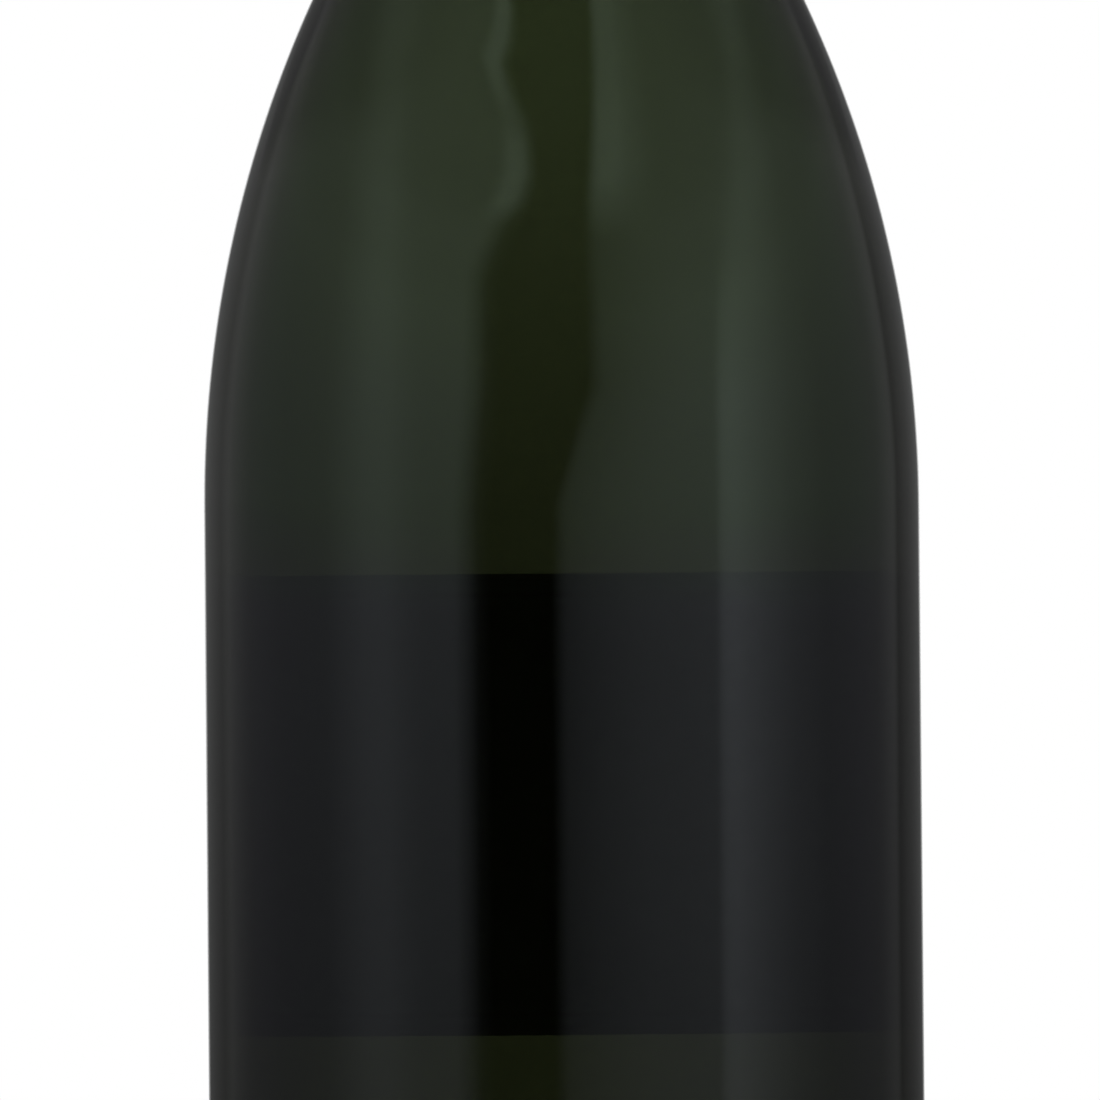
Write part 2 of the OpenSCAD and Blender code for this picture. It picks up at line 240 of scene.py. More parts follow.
def arc(centre, r, start, end, steps):
    turns = [start + (end - start) * i / steps for i in range(steps + 1)]
    return [(centre[0] + r * cos(radians(t)), centre[1] + r * sin(radians(t))) for t in turns]


def smooth(part):
    """0 below 0, 1 above 1 and an even rise between."""
    part = min(1.0, max(0.0, part))
    return part * part * (3 - 2 * part)


class GlassShape:
    """The outline of the glass, worked out from its driving sizes as the CAD part does."""

    def __init__(self, g):
        self.g = g
        self.ring_top = g.height - g.bead_h - g.recess_h
        self.ring_z = self.ring_top - g.ring_h
        self.turn = asin(g.shoulder_rise / g.shoulder_r)
        self.shoulder_x = g.body_r - g.shoulder_r
        start_x = self.shoulder_x + g.shoulder_r * cos(self.turn)
        start_z = g.shoulder_z + g.shoulder_r * sin(self.turn)
        slope = tan(g.neck_taper)
        self.sweep_r = ((start_x - g.neck_r - (self.ring_z - start_z) * slope)
                        / (cos(g.neck_taper) - cos(self.turn)
                           - (sin(self.turn) - sin(g.neck_taper)) * slope))
        self.sweep_x = start_x + self.sweep_r * cos(self.turn)
        self.sweep_z = start_z + self.sweep_r * sin(self.turn)

    def radius(self, z, depth=0.0):
        """Radius at height z on the skin that lies depth inside the outer face."""
        g = self.g
        if z <= g.shoulder_z:
            return g.body_r - depth
        if z <= g.shoulder_z + (g.shoulder_r - depth) * sin(self.turn):
            return self.shoulder_x + sqrt((g.shoulder_r - depth) ** 2 - (z - g.shoulder_z) ** 2)
        if z <= self.sweep_z - (self.sweep_r + depth) * sin(g.neck_taper):
            return self.sweep_x - sqrt((self.sweep_r + depth) ** 2 - (self.sweep_z - z) ** 2)
        return g.neck_r + (self.ring_z - z) * tan(g.neck_taper) - depth / cos(g.neck_taper)

    def skin(self, start, end, depth, steps):
        heights = [start + (end - start) * i / steps for i in range(steps + 1)]
        return [(self.radius(z, depth), z) for z in heights]

    def wall(self, z):
        """Thickness of the glass at height z: blowing thins the shoulder most."""
        g = self.g
        thin = g.shoulder_z + g.shoulder_rise
        if z > thin:
            return g.shoulder_wall + (g.wall - g.shoulder_wall) * smooth((z - thin) / WALL_SPAN_UP)
        return g.shoulder_wall + (g.body_wall - g.shoulder_wall) * smooth((thin - z) / WALL_SPAN_DOWN)

    def inner_skin(self, start, end, lift, steps):
        """The glass's inner face, or a skin that lies lift inside it."""
        heights = [start + (end - start) * i / steps for i in range(steps + 1)]
        return [(self.radius(z, self.wall(z) + lift), z) for z in heights]

    def punt(self):
        """The hollow's edge, the direction of its slope's normal and the centre of its dome."""
        g = self.g
        edge = (g.body_r - g.heel_r - g.stand_w - g.stand_bevel, g.stand_bevel)
        centre = (0.0, g.punt_h - g.punt_top_r)
        way = (centre[0] - edge[0], centre[1] - edge[1])
        normal = atan2(way[1], way[0]) - asin(g.punt_top_r / hypot(*way)) - pi / 2
        return edge, normal % (2 * pi), centre

    def valley(self):
        """The centre of the inside corner round the hollow."""
        g = self.g
        edge, normal, centre = self.punt()
        skin = (edge[0] + g.base_wall * cos(normal), edge[1] + g.base_wall * sin(normal))
        x = g.body_r - self.wall(0.0) - g.valley_r
        return x, skin[1] + (g.valley_r - (x - skin[0]) * cos(normal)) / sin(normal)

    def valley_z(self):
        return self.valley()[1]

    def base_inside(self, lift, steps=16):
        """The inside of the base, from the wall to the axis."""
        g = self.g
        edge, normal, centre = self.punt()
        tilt = normal * 180 / pi
        corner = arc(self.valley(), g.valley_r - lift, 0, tilt - 180, steps)
        dome = arc(centre, g.punt_top_r + g.base_wall + lift, tilt, 90, steps)
        return corner + dome[:-1] + [(0.0, dome[-1][1])]

    def glass(self):
        g = self.g
        edge, normal, centre = self.punt()
        tilt = normal * 180 / pi
        bead_z = g.height - g.bead_h
        e = g.edge_round
        dome = arc(centre, g.punt_top_r, 90, tilt, 16)
        return ([(0.0, dome[0][1])] + dome[1:]
                + [edge, (edge[0] + g.stand_bevel, 0.0)]
                + arc((g.body_r - g.heel_r, g.heel_r), g.heel_r, -90, 0, 20)
                + self.skin(g.heel_r + 0.01, g.shoulder_z, 0, 5)
                + self.skin(g.shoulder_z + 0.001, self.ring_z, 0, 90)
                + arc((g.ring_r - e, self.ring_z + e), e, -90, 0, 8)
                + arc((g.ring_r - e, self.ring_top - e), e, 0, 90, 8)
                + [(g.recess_r, self.ring_top), (g.recess_r, bead_z)]
                + arc((g.bead_r - e, bead_z + e), e, -90, 0, 8)
                + arc((g.bead_r - e, g.height - e), e, 0, 90, 8)
                + arc((g.bore_r + g.mouth_round, g.height - g.mouth_round), g.mouth_round, 90, 180, 8)
                + [(g.bore_r, g.height - g.bore_len)]
                + self.inner_skin(g.height - g.bore_len - g.bore_flare, self.valley_z(), 0.0, 120)
                + self.base_inside(0.0)[1:])


# Meshes


def finish_mesh(name, mesh, material, body, replaced=(), sharp=35):
    """Makes the mesh a piece: smooth, with its finish, riding on its body."""
    for polygon in mesh.polygons:
        polygon.use_smooth = True
    mesh.set_sharp_from_angle(angle=radians(sharp))
    mesh.materials.clear()
    mesh.materials.append(material)
    piece = bpy.data.objects.new(name, mesh)
    bpy.context.scene.collection.objects.link(piece)
    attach(piece, body)
    if replaced:
        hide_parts(*replaced)
    return piece


def dress(node, material):
    """Gives a CAD object its finish."""
    data = frame["nodes"][node].data
    data.materials.clear()
    data.materials.append(material)


def outward(mesh, merge=0.0):
    b = bmesh.new()
    b.from_mesh(mesh)
    if merge:
        bmesh.ops.remove_doubles(b, verts=b.verts, dist=merge)
    bmesh.ops.recalc_face_normals(b, faces=b.faces)
    b.to_mesh(mesh)
    b.free()
    return mesh


def revolved(name, outline, segments):
    """A closed skin of revolution. An outline point on the axis becomes a pole."""
    verts, rings = [], []
    for r, z in outline:
        if r < 1e-7:
            rings.append([len(verts)])
            verts.append((0.0, 0.0, z))
        else:
            rings.append(list(range(len(verts), len(verts) + segments)))
            verts += [(r * cos(2 * pi * k / segments), r * sin(2 * pi * k / segments), z)
                      for k in range(segments)]
    faces = []
    for low, high in zip(rings, rings[1:]):
        for k in range(segments):
            n = (k + 1) % segments
            if len(low) == 1:
                faces.append((low[0], high[n], high[k]))
            elif len(high) == 1:
                faces.append((low[k], low[n], high[0]))
            else:
                faces.append((low[k], low[n], high[n], high[k]))
    mesh = bpy.data.meshes.new(name)
    mesh.from_pydata(verts, [], faces)
    return outward(mesh)


def shell(name, rows, columns, point, sheet, closed_top):
    """A thin sheet over a grid: point(row, column) is its outer face, and sheet its thickness."""
    outer = [[Vector(point(i, k)) for k in range(columns)] for i in range(rows + 1)]
    inner = []
    for i in range(rows + 1):
        ring = []
        for k in range(columns):
            here = outer[i][k]
            up = outer[min(i + 1, rows)][k] - outer[max(i - 1, 0)][k]
            side = outer[i][(k + 1) % columns] - outer[i][k - 1]
            normal = side.cross(up)
            if normal.length < 1e-12:
                normal = Vector((0, 0, 1))
            ring.append(here - normal.normalized() * sheet)
        inner.append(ring)
    verts, faces = [], []
    for grid in (outer, inner):
        for ring in grid:
            verts += ring
    count = (rows + 1) * columns

    def index(side, i, k):
        return side * count + i * columns + k % columns

    for i in range(rows):
        for k in range(columns):
            faces.append((index(0, i, k), index(0, i, k + 1), index(0, i + 1, k + 1), index(0, i + 1, k)))
            faces.append((index(1, i, k), index(1, i + 1, k), index(1, i + 1, k + 1), index(1, i, k + 1)))
    edges = [0] if closed_top else [0, rows]
    for i in edges:
        for k in range(columns):
            faces.append((index(0, i, k), index(1, i, k), index(1, i, k + 1), index(0, i, k + 1)))
    if closed_top:
        for side in (0, 1):
            centre = sum((Vector(verts[index(side, rows, k)]) for k in range(columns)), Vector()) / columns
            verts.append(centre)
            for k in range(columns):
                faces.append((index(side, rows, k), index(side, rows, k + 1), len(verts) - 1))
    mesh = bpy.data.meshes.new(name)
    mesh.from_pydata(verts, [], faces)
    return outward(mesh)


# Node trees


def add(tree, kind, place=None, **settings):
    """A node with its properties and input values set. place is not used."""
    node = tree.nodes.new(kind)
    inputs = settings.pop("inputs", {})
    for key, value in settings.items():
        setattr(node, key, value)
    for key, value in inputs.items():
        socket = node.inputs[key]
        if isinstance(value, bpy.types.NodeSocket):
            tree.links.new(value, socket)
        else:
            socket.default_value = value
    return node


def maths(tree, operation, a, b=0.0, c=0.0):
    return add(tree, "ShaderNodeMath", operation=operation, inputs={0: a, 1: b, 2: c}).outputs[0]


def mixed(tree, part, first, second):
    node = add(tree, "ShaderNodeMix", data_type="RGBA", inputs={0: part})
    for socket, value in ((node.inputs[6], first), (node.inputs[7], second)):
        if isinstance(value, bpy.types.NodeSocket):
            tree.links.new(value, socket)
        else:
            socket.default_value = (*value[:3], 1.0)
    return node.outputs[2]


def ranged(tree, value, low, high, out_low, out_high):
    return add(tree, "ShaderNodeMapRange",
               inputs={"Value": value, 1: low, 2: high, 3: out_low, 4: out_high}).outputs[0]


def new_material(name):
    material = bpy.data.materials.new(name)
    material.use_nodes = True
    tree = material.node_tree
    tree.nodes.clear()
    shader = add(tree, "ShaderNodeBsdfPrincipled")
    out = add(tree, "ShaderNodeOutputMaterial")
    tree.links.new(shader.outputs[0], out.inputs["Surface"])
    return material, tree, shader, out


def object_point(tree):
    return add(tree, "ShaderNodeTexCoord").outputs["Object"]


def noise_value(tree, point, scale, detail=3.0, roughness=0.5):
    return add(tree, "ShaderNodeTexNoise",
               inputs={"Vector": point, "Scale": scale, "Detail": detail,
                       "Roughness": roughness}).outputs[0]


def bump(tree, height, strength, distance, normal=None):
    inputs = {"Height": height, "Strength": strength, "Distance": distance}
    if normal:
        inputs["Normal"] = normal
    return add(tree, "ShaderNodeBump", inputs=inputs).outputs[0]


def clear_material(name, index, tint, absorb, ripple, skin=(1, 1, 1), gleam=(1, 1, 1)):
    """Clear glass or liquid that tints light by the way it travels inside."""
    material, tree, shader, out = new_material(name)
    shader.inputs["Base Color"].default_value = (*skin, 1.0)
    shader.inputs["Specular Tint"].default_value = (*gleam, 1.0)
    shader.inputs["Transmission Weight"].default_value = 1.0
    shader.inputs["IOR"].default_value = index
    shader.inputs["Roughness"].default_value = 0.0
    point = object_point(tree)
    if ripple:
        wave = noise_value(tree, point, 60.0, 1.0)
        tree.links.new(bump(tree, wave, ripple, 0.0004), shader.inputs["Normal"])
    volume = add(tree, "ShaderNodeVolumeAbsorption")
    volume.inputs["Color"].default_value = (*tint, 1.0)
    volume.inputs["Density"].default_value = absorb
    tree.links.new(volume.outputs[0], out.inputs["Volume"])
    return material


def foil_material(name, gold, creased):
    """Thin lacquered foil: drawn streaks, fine wrinkles, rubbed sheen and slightly uneven colour."""
    material, tree, shader, out = new_material(name)
    point = object_point(tree)
    tall = add(tree, "ShaderNodeMapping", inputs={"Vector": point, "Scale": (1.0, 1.0, 0.3)}).outputs[0]
    level = noise_value(tree, tall, 260.0, 2.0)
    away = maths(tree, "ABSOLUTE", maths(tree, "MULTIPLY_ADD", level, 2.0, -1.0))
    wrinkle = ranged(tree, away, 0.0, 0.06, 1.0, 0.0)
    streak = noise_value(tree, tall, 1500.0, 5.0, 0.6)
    soft = noise_value(tree, point, 170.0, 3.0)
    tone = ranged(tree, maths(tree, "ADD", soft, streak), 0.75, 1.25, 0.0, 1.0)
    darker = [c * 0.88 for c in gold]
    tree.links.new(mixed(tree, tone, darker, gold), shader.inputs["Base Color"])
    shader.inputs["Metallic"].default_value = 0.86
    rough = ranged(tree, soft, 0.25, 0.75, 0.17, 0.31)
    tree.links.new(rough, shader.inputs["Roughness"])
    first = bump(tree, wrinkle, 0.22 * creased, 0.00005)
    second = bump(tree, streak, 0.2, 0.00002, first)
    tree.links.new(bump(tree, soft, 0.45 * creased, 0.0004, second), shader.inputs["Normal"])
    return material


def wire_material(steel):
    """Drawn galvanised wire with faint dull patches."""
    material, tree, shader, out = new_material("Galvanised wire")
    point = object_point(tree)
    patch = noise_value(tree, point, 900.0, 3.0)
    tone = ranged(tree, patch, 0.35, 0.65, 0.0, 1.0)
    tree.links.new(mixed(tree, tone, [c * 0.78 for c in steel], steel), shader.inputs["Base Color"])
    shader.inputs["Metallic"].default_value = 1.0
    tree.links.new(ranged(tree, patch, 0.3, 0.7, 0.22, 0.4), shader.inputs["Roughness"])
    fine = noise_value(tree, point, 6000.0, 2.0)
    tree.links.new(bump(tree, fine, 0.2, 0.00001), shader.inputs["Normal"])
    return material


def plaque_material(metal):
    """Pressed and lacquered sheet, left bare, with faint turned lines."""
    material, tree, shader, out = new_material("Pressed plaque")
    point = object_point(tree)
    rings = add(tree, "ShaderNodeTexWave", wave_type="RINGS", rings_direction="Z",
                inputs={"Vector": point, "Scale": 900.0, "Distortion": 0.6, "Detail": 2.0})
    patch = noise_value(tree, point, 260.0, 4.0)
    tone = ranged(tree, patch, 0.3, 0.7, 0.0, 1.0)
    tree.links.new(mixed(tree, tone, [c * 0.85 for c in metal], metal), shader.inputs["Base Color"])
    shader.inputs["Metallic"].default_value = 1.0
    tree.links.new(ranged(tree, patch, 0.3, 0.7, 0.2, 0.34), shader.inputs["Roughness"])
    tree.links.new(bump(tree, rings.outputs["Fac"], 0.12, 0.00002), shader.inputs["Normal"])
    return material


def cork_material(cork):
    """Glued granules: each has its own tone, with dark seams and open pores."""
    material, tree, shader, out = new_material("Granulated cork")
    point = object_point(tree)
    scale = 1.0 / cork.granule
    warp = add(tree, "ShaderNodeTexNoise", inputs={"Vector": point, "Scale": scale * 1.3, "Detail": 4.0,
                                                   "Roughness": 0.6})
    moved = add(tree, "ShaderNodeVectorMath", operation="MULTIPLY_ADD",
                inputs={0: warp.outputs["Color"], 1: (0.8 * cork.granule,) * 3, 2: point}).outputs[0]
    grains = add(tree, "ShaderNodeTexVoronoi", inputs={"Vector": moved, "Scale": scale})
    seams = add(tree, "ShaderNodeTexVoronoi", feature="DISTANCE_TO_EDGE",
                inputs={"Vector": moved, "Scale": scale})
    tone = add(tree, "ShaderNodeSeparateColor", inputs={0: grains.outputs["Color"]}).outputs[0]
    fibre = noise_value(tree, point, 1300.0, 4.0, 0.6)
    tone = maths(tree, "ADD", tone, ranged(tree, fibre, 0.3, 0.7, -0.18, 0.18))
    body = mixed(tree, tone, cork.dark, cork.light)
    seam = maths(tree, "MULTIPLY", ranged(tree, seams.outputs[0], 0.0, 0.05, 1.0, 0.0),
                 ranged(tree, noise_value(tree, point, 700.0), 0.35, 0.6, 0.15, 0.8))
    pores = noise_value(tree, point, 2400.0, 5.0, 0.65)
    pore = ranged(tree, pores, 0.57, 0.66, 0.0, 1.0)
    shade = maths(tree, "MAXIMUM", seam, pore)
    dark = mixed(tree, maths(tree, "MULTIPLY", shade, 0.75), body, [c * 0.42 for c in cork.dark])
    tree.links.new(dark, shader.inputs["Base Color"])
    shader.inputs["Roughness"].default_value = 0.86
    height = maths(tree, "SUBTRACT", 1.0, shade)
    tree.links.new(bump(tree, height, 0.8, 0.00018), shader.inputs["Normal"])
    return material


def disc_material(name, cork, top, turn):
    """Natural cork: growth lines across the disc, short dark pores and the glue line at its top."""
    material, tree, shader, out = new_material(name)
    point = object_point(tree)
    height = add(tree, "ShaderNodeSeparateXYZ", inputs={0: point}).outputs[2]
    glue = ranged(tree, maths(tree, "SUBTRACT", top, height), 0.05 * MM, 0.22 * MM, 0.6, 0.0)
    turned = add(tree, "ShaderNodeMapping", inputs={"Vector": point, "Location": (0.0, 0.0, turn),
                                                    "Rotation": (0.0, 0.0, turn)}).outputs[0]
    stretched = add(tree, "ShaderNodeMapping", inputs={"Vector": turned, "Scale": (1.0, 0.22, 1.0)}).outputs[0]
    lines = noise_value(tree, stretched, 900.0, 4.0, 0.6)
    pores = noise_value(tree, stretched, 1700.0, 3.0)
    pore = ranged(tree, pores, 0.6, 0.66, 0.0, 1.0)
    tone = ranged(tree, lines, 0.3, 0.7, 0.0, 1.0)
    body = mixed(tree, tone, [c * 0.75 for c in cork.disc], [min(1.0, c * 1.12) for c in cork.disc])
    marked = maths(tree, "MAXIMUM", pore, glue)
    tree.links.new(mixed(tree, marked, body, [c * 0.3 for c in cork.disc]), shader.inputs["Base Color"])
    shader.inputs["Roughness"].default_value = 0.82
    tree.links.new(bump(tree, maths(tree, "SUBTRACT", 1.0, pore), 0.6, 0.00012),
                   shader.inputs["Normal"])
    return material


def paper_material(paper, width, height):
    """Laid paper with fibres and one thin ruled line along its edge."""
    material, tree, shader, out = new_material("Label paper")
    point = object_point(tree)
    place = add(tree, "ShaderNodeSeparateXYZ",
                inputs={0: add(tree, "ShaderNodeUVMap", uv_map="label").outputs[0]})
    across = maths(tree, "MINIMUM", place.outputs[0], maths(tree, "SUBTRACT", width, place.outputs[0]))
    up = maths(tree, "MINIMUM", place.outputs[1], maths(tree, "SUBTRACT", height, place.outputs[1]))
    edge = maths(tree, "MINIMUM", across, up)
    away = maths(tree, "ABSOLUTE", maths(tree, "SUBTRACT", edge, paper.border))
    rule = maths(tree, "LESS_THAN", away, 0.00022)
    fibres = noise_value(tree, point, 1800.0, 6.0, 0.7)
    cloud = noise_value(tree, point, 120.0, 3.0)
    tone = ranged(tree, maths(tree, "ADD", fibres, cloud), 0.7, 1.3, 0.0, 1.0)
    plain = mixed(tree, tone, [c * 0.94 for c in paper.paper], paper.paper)
    tree.links.new(mixed(tree, maths(tree, "MULTIPLY", rule, 0.8), plain, paper.rule),
                   shader.inputs["Base Color"])
    shader.inputs["Roughness"].default_value = 0.7
    tree.links.new(bump(tree, fibres, 0.35, 0.00005), shader.inputs["Normal"])
    return material


# Geometry node trees


def interface(tree, *sockets):
    tree.interface.new_socket("Geometry", in_out="OUTPUT", socket_type="NodeSocketGeometry")
    tree.interface.new_socket("Geometry", in_out="INPUT", socket_type="NodeSocketGeometry")
    for name, kind in sockets:
        tree.interface.new_socket(name, in_out="INPUT", socket_type=kind)


def wire_tree():
    """Turns each path of edges into strands that wind round it."""
    tree = bpy.data.node_groups.new("Wound wire", "GeometryNodeTree")
    interface(tree, ("Wire radius", "NodeSocketFloat"), ("Lay radius", "NodeSocketFloat"),
              ("Lay length", "NodeSocketFloat"), ("Strands", "NodeSocketInt"),
              ("Material", "NodeSocketMaterial"))
    start = tree.nodes.new("NodeGroupInput").outputs
    path = add(tree, "GeometryNodeMeshToCurve", inputs={0: start["Geometry"]}).outputs[0]
    copies = add(tree, "GeometryNodeDuplicateElements", domain="SPLINE",
                 inputs={"Geometry": path, "Amount": start["Strands"]})
    along = add(tree, "GeometryNodeSplineParameter").outputs["Length"]
    normal = add(tree, "GeometryNodeInputNormal").outputs[0]
    tangent = add(tree, "GeometryNodeInputTangent").outputs[0]
    turns = maths(tree, "DIVIDE", along, start["Lay length"])
    phase = maths(tree, "DIVIDE", copies.outputs["Duplicate Index"], start["Strands"])
    turn = maths(tree, "MULTIPLY", maths(tree, "ADD", turns, phase), 2 * pi)
    side = add(tree, "ShaderNodeVectorMath", operation="CROSS_PRODUCT",
               inputs={0: tangent, 1: normal}).outputs[0]
    swing = []
    for function, direction in (("COSINE", normal), ("SINE", side)):
        scale = maths(tree, "MULTIPLY", maths(tree, function, turn), start["Lay radius"])
        node = add(tree, "ShaderNodeVectorMath", operation="SCALE", inputs={0: direction})
        tree.links.new(scale, node.inputs["Scale"])
        swing.append(node.outputs[0])
    offset = add(tree, "ShaderNodeVectorMath", operation="ADD",
                 inputs={0: swing[0], 1: swing[1]}).outputs[0]
    wound = add(tree, "GeometryNodeSetPosition",
                inputs={"Geometry": copies.outputs["Geometry"], "Offset": offset}).outputs[0]
    ring = add(tree, "GeometryNodeCurvePrimitiveCircle",
               inputs={"Resolution": 12, "Radius": start["Wire radius"]}).outputs[0]
    tube = add(tree, "GeometryNodeCurveToMesh",
               inputs={"Curve": wound, "Profile Curve": ring, "Fill Caps": True}).outputs[0]
    real = add(tree, "GeometryNodeRealizeInstances", inputs={"Geometry": tube}).outputs[0]
    done = add(tree, "GeometryNodeSetMaterial",
               inputs={"Geometry": real, "Material": start["Material"]}).outputs[0]
    add(tree, "NodeGroupOutput", inputs={0: done})
    return tree


def tie_tree():
    """Sets small ties round a circle, each turned to face the axis."""
    tree = bpy.data.node_groups.new("Ring of ties", "GeometryNodeTree")
    interface(tree, ("Count", "NodeSocketInt"), ("Ring radius", "NodeSocketFloat"),
              ("Height", "NodeSocketFloat"), ("Tie size", "NodeSocketVector"),
              ("Material", "NodeSocketMaterial"))
    start = tree.nodes.new("NodeGroupInput").outputs
    circle = add(tree, "GeometryNodeMeshCircle",
                 inputs={"Vertices": start["Count"], "Radius": start["Ring radius"]}).outputs[0]
    lift = add(tree, "ShaderNodeCombineXYZ", inputs={"Z": start["Height"]}).outputs[0]
    placed = add(tree, "GeometryNodeSetPosition",
                 inputs={"Geometry": circle, "Offset": lift}).outputs[0]
    block = add(tree, "GeometryNodeMeshCube", inputs={"Size": start["Tie size"]}).outputs[0]
    where = add(tree, "GeometryNodeInputPosition").outputs[0]
    facing = add(tree, "FunctionNodeAlignRotationToVector", axis="X", pivot_axis="Z",
                 inputs={"Vector": where}).outputs[0]
    ties = add(tree, "GeometryNodeInstanceOnPoints",
               inputs={"Points": placed, "Instance": block, "Rotation": facing}).outputs[0]
    real = add(tree, "GeometryNodeRealizeInstances", inputs={"Geometry": ties}).outputs[0]
    done = add(tree, "GeometryNodeSetMaterial",
               inputs={"Geometry": real, "Material": start["Material"]}).outputs[0]
    add(tree, "NodeGroupOutput", inputs={0: done})
    return tree


def run_tree(name, tree, values, verts=(), edges=()):
    """The plain mesh that a node tree makes from a base of loose edges."""
    base = bpy.data.meshes.new(name)
    base.from_pydata([Vector(v) for v in verts], edges, [])
    maker = bpy.data.objects.new(name, base)
    bpy.context.scene.collection.objects.link(maker)
    modifier = maker.modifiers.new("Nodes", "NODES")
    modifier.node_group = tree
    for item in tree.interface.items_tree:
        if item.item_type == "SOCKET" and item.in_out == "INPUT" and item.name in values:
            modifier[item.identifier] = values[item.name]
    maker.update_tag()
    bpy.context.view_layer.update()
    seen = maker.evaluated_get(bpy.context.evaluated_depsgraph_get())
    mesh = bpy.data.meshes.new_from_object(seen)
    if not mesh.polygons:
        raise RuntimeError(f"{name}: its node tree made no faces")
    bpy.data.objects.remove(maker)
    mesh.name = name
    return outward(mesh)


def wound(name, paths, wire_r, lay_r, lay, strands, material):
    """Strands wound round each path. A path is (points, closed)."""
    tree = bpy.data.node_groups.get("Wound wire") or wire_tree()
    verts, edges = [], []
    for points, closed in paths:
        first = len(verts)
        verts += points
        edges += [(first + i, first + i + 1) for i in range(len(points) - 1)]
        if closed:
            edges.append((len(verts) - 1, first))
    return run_tree(name, tree, {"Wire radius": wire_r, "Lay radius": lay_r, "Lay length": lay,
                                 "Strands": strands, "Material": material}, verts, edges)


def joined(name, meshes):
    b = bmesh.new()
    for mesh in meshes:
        b.from_mesh(mesh)
    whole = bpy.data.meshes.new(name)
    b.to_mesh(whole)
    b.free()
    return whole


def circle_path(centre, r, across, up, steps, start=0.0, sweep=360.0):
    """Points round a circle that two directions span."""
    centre, across, up = Vector(centre), Vector(across), Vector(up)
    closed = sweep >= 360.0
    count = steps if closed else steps + 1
    points = []
    for i in range(count):
        t = radians(start + sweep * i / steps)
        points.append(centre + across * r * cos(t) + up * r * sin(t))
    return points, closed


# The pieces


def settings():
    return bpy.context.scene.champagne_bottle


class BottleSettings(PropertyGroup):
    glass: PointerProperty(type=BottleGlass, name="Glass", description="Sizes of the glass")
    filling: PointerProperty(type=BottleFilling, name="Wine", description="The wine")
    paper: PointerProperty(type=BottlePaper, name="Label", description="The label")
    cork: PointerProperty(type=BottleCork, name="Cork", description="The cork")
    wire: PointerProperty(type=BottleWire, name="Wire", description="The wire cage")
    foil: PointerProperty(type=BottleFoil, name="Foil", description="The foil")
    plaque: PointerProperty(type=BottlePlaque, name="Plaque", description="The plaque")
    studio: PointerProperty(type=BottleStudio, name="Studio", description="Camera and light")


class BOTTLE_OT_glass(Operator):
    """Build the glass bottle"""
    bl_idname = "bottle.glass"
    bl_label = "Glass"

    def execute(self, context):
        g = settings().glass
        mesh = revolved("glass", GlassShape(g).glass(), g.segments)
        material = clear_material("Dark green glass", g.index, g.tint, g.absorb, 0.04, g.skin, g.gleam)
        finish_mesh("glass", mesh, material, "bottle", ["glass_bottle"])
        return {"FINISHED"}


class BOTTLE_OT_wine(Operator):
    """Fill the bottle with wine"""
    bl_idname = "bottle.wine"
    bl_label = "Wine"

    def execute(self, context):
        g, w = settings().glass, settings().filling
        shape = GlassShape(g)
        top = WINE_HIGH.z
        rim = shape.radius(top, shape.wall(top) - w.overlap)
        surface = [(0.0, top), (rim * 0.6, top), (rim * 0.85, top + w.meniscus * 0.15),
                   (rim * 0.95, top + w.meniscus * 0.5)]
        skin = shape.inner_skin(top + w.meniscus, shape.valley_z(), -w.overlap, 90)
        base = shape.base_inside(-w.overlap)[1:]
        mesh = revolved("wine_fill", surface + skin + base, g.segments)
        material = clear_material("Pale gold wine", w.index, w.tint, w.absorb, 0.0)
        finish_mesh("wine_fill", mesh, material, "bottle", ["wine"])
        return {"FINISHED"}


class BOTTLE_OT_label(Operator):
    """Stick the bare label on the back"""
    bl_idname = "bottle.label"
    bl_label = "Label"
    COLUMNS = 96
    ROWS = 60

    def execute(self, context):
        g, p = settings().glass, settings().paper
        inner = g.body_r + p.gap
        low, high = LABEL_LOW.z, LABEL_HIGH.z
        half = acos(min(1.0, max(-1.0, LABEL_LOW.y / (inner + p.thickness))))
        half = asin(min(1.0, LABEL_HIGH.x / (inner + p.thickness))) if LABEL_LOW.y > 0 else half
        width, height = 2 * half * inner, high - low
        verts, faces, places = [], [], []
        for side in (0, 1):
            for i in range(self.ROWS + 1):
                v = height * i / self.ROWS
                inset = 0.0
                near = min(v, height - v)
                if near < p.corner:
                    inset = p.corner - sqrt(p.corner ** 2 - (p.corner - near) ** 2)
                for k in range(self.COLUMNS + 1):
                    u = inset + (width - 2 * inset) * k / self.COLUMNS
                    turn = pi / 2 + half - u / inner
                    r = inner + p.thickness * side
                    verts.append((r * cos(turn), r * sin(turn), low + v))
                    places.append((u, v))
        span = self.COLUMNS + 1
        count = (self.ROWS + 1) * span
        for side in (0, 1):
            for i in range(self.ROWS):
                for k in range(self.COLUMNS):
                    a = side * count + i * span + k
                    faces.append((a, a + 1, a + 1 + span, a + span))
        rim = ([k for k in range(span)] + [i * span + span - 1 for i in range(1, self.ROWS + 1)]
               + [self.ROWS * span + k for k in range(span - 2, -1, -1)]
               + [i * span for i in range(self.ROWS - 1, 0, -1)])
        for a, b in zip(rim, rim[1:] + rim[:1]):
            faces.append((a, b, b + count, a + count))
        mesh = bpy.data.meshes.new("label")
        mesh.from_pydata(verts, [], faces)
        layer = mesh.uv_layers.new(name="label")
        for loop in mesh.loops:
            layer.data[loop.index].uv = places[loop.vertex_index]
        outward(mesh)
        finish_mesh("label", mesh, paper_material(p, width, height), "bottle",
                    ["back_label"])
        return {"FINISHED"}


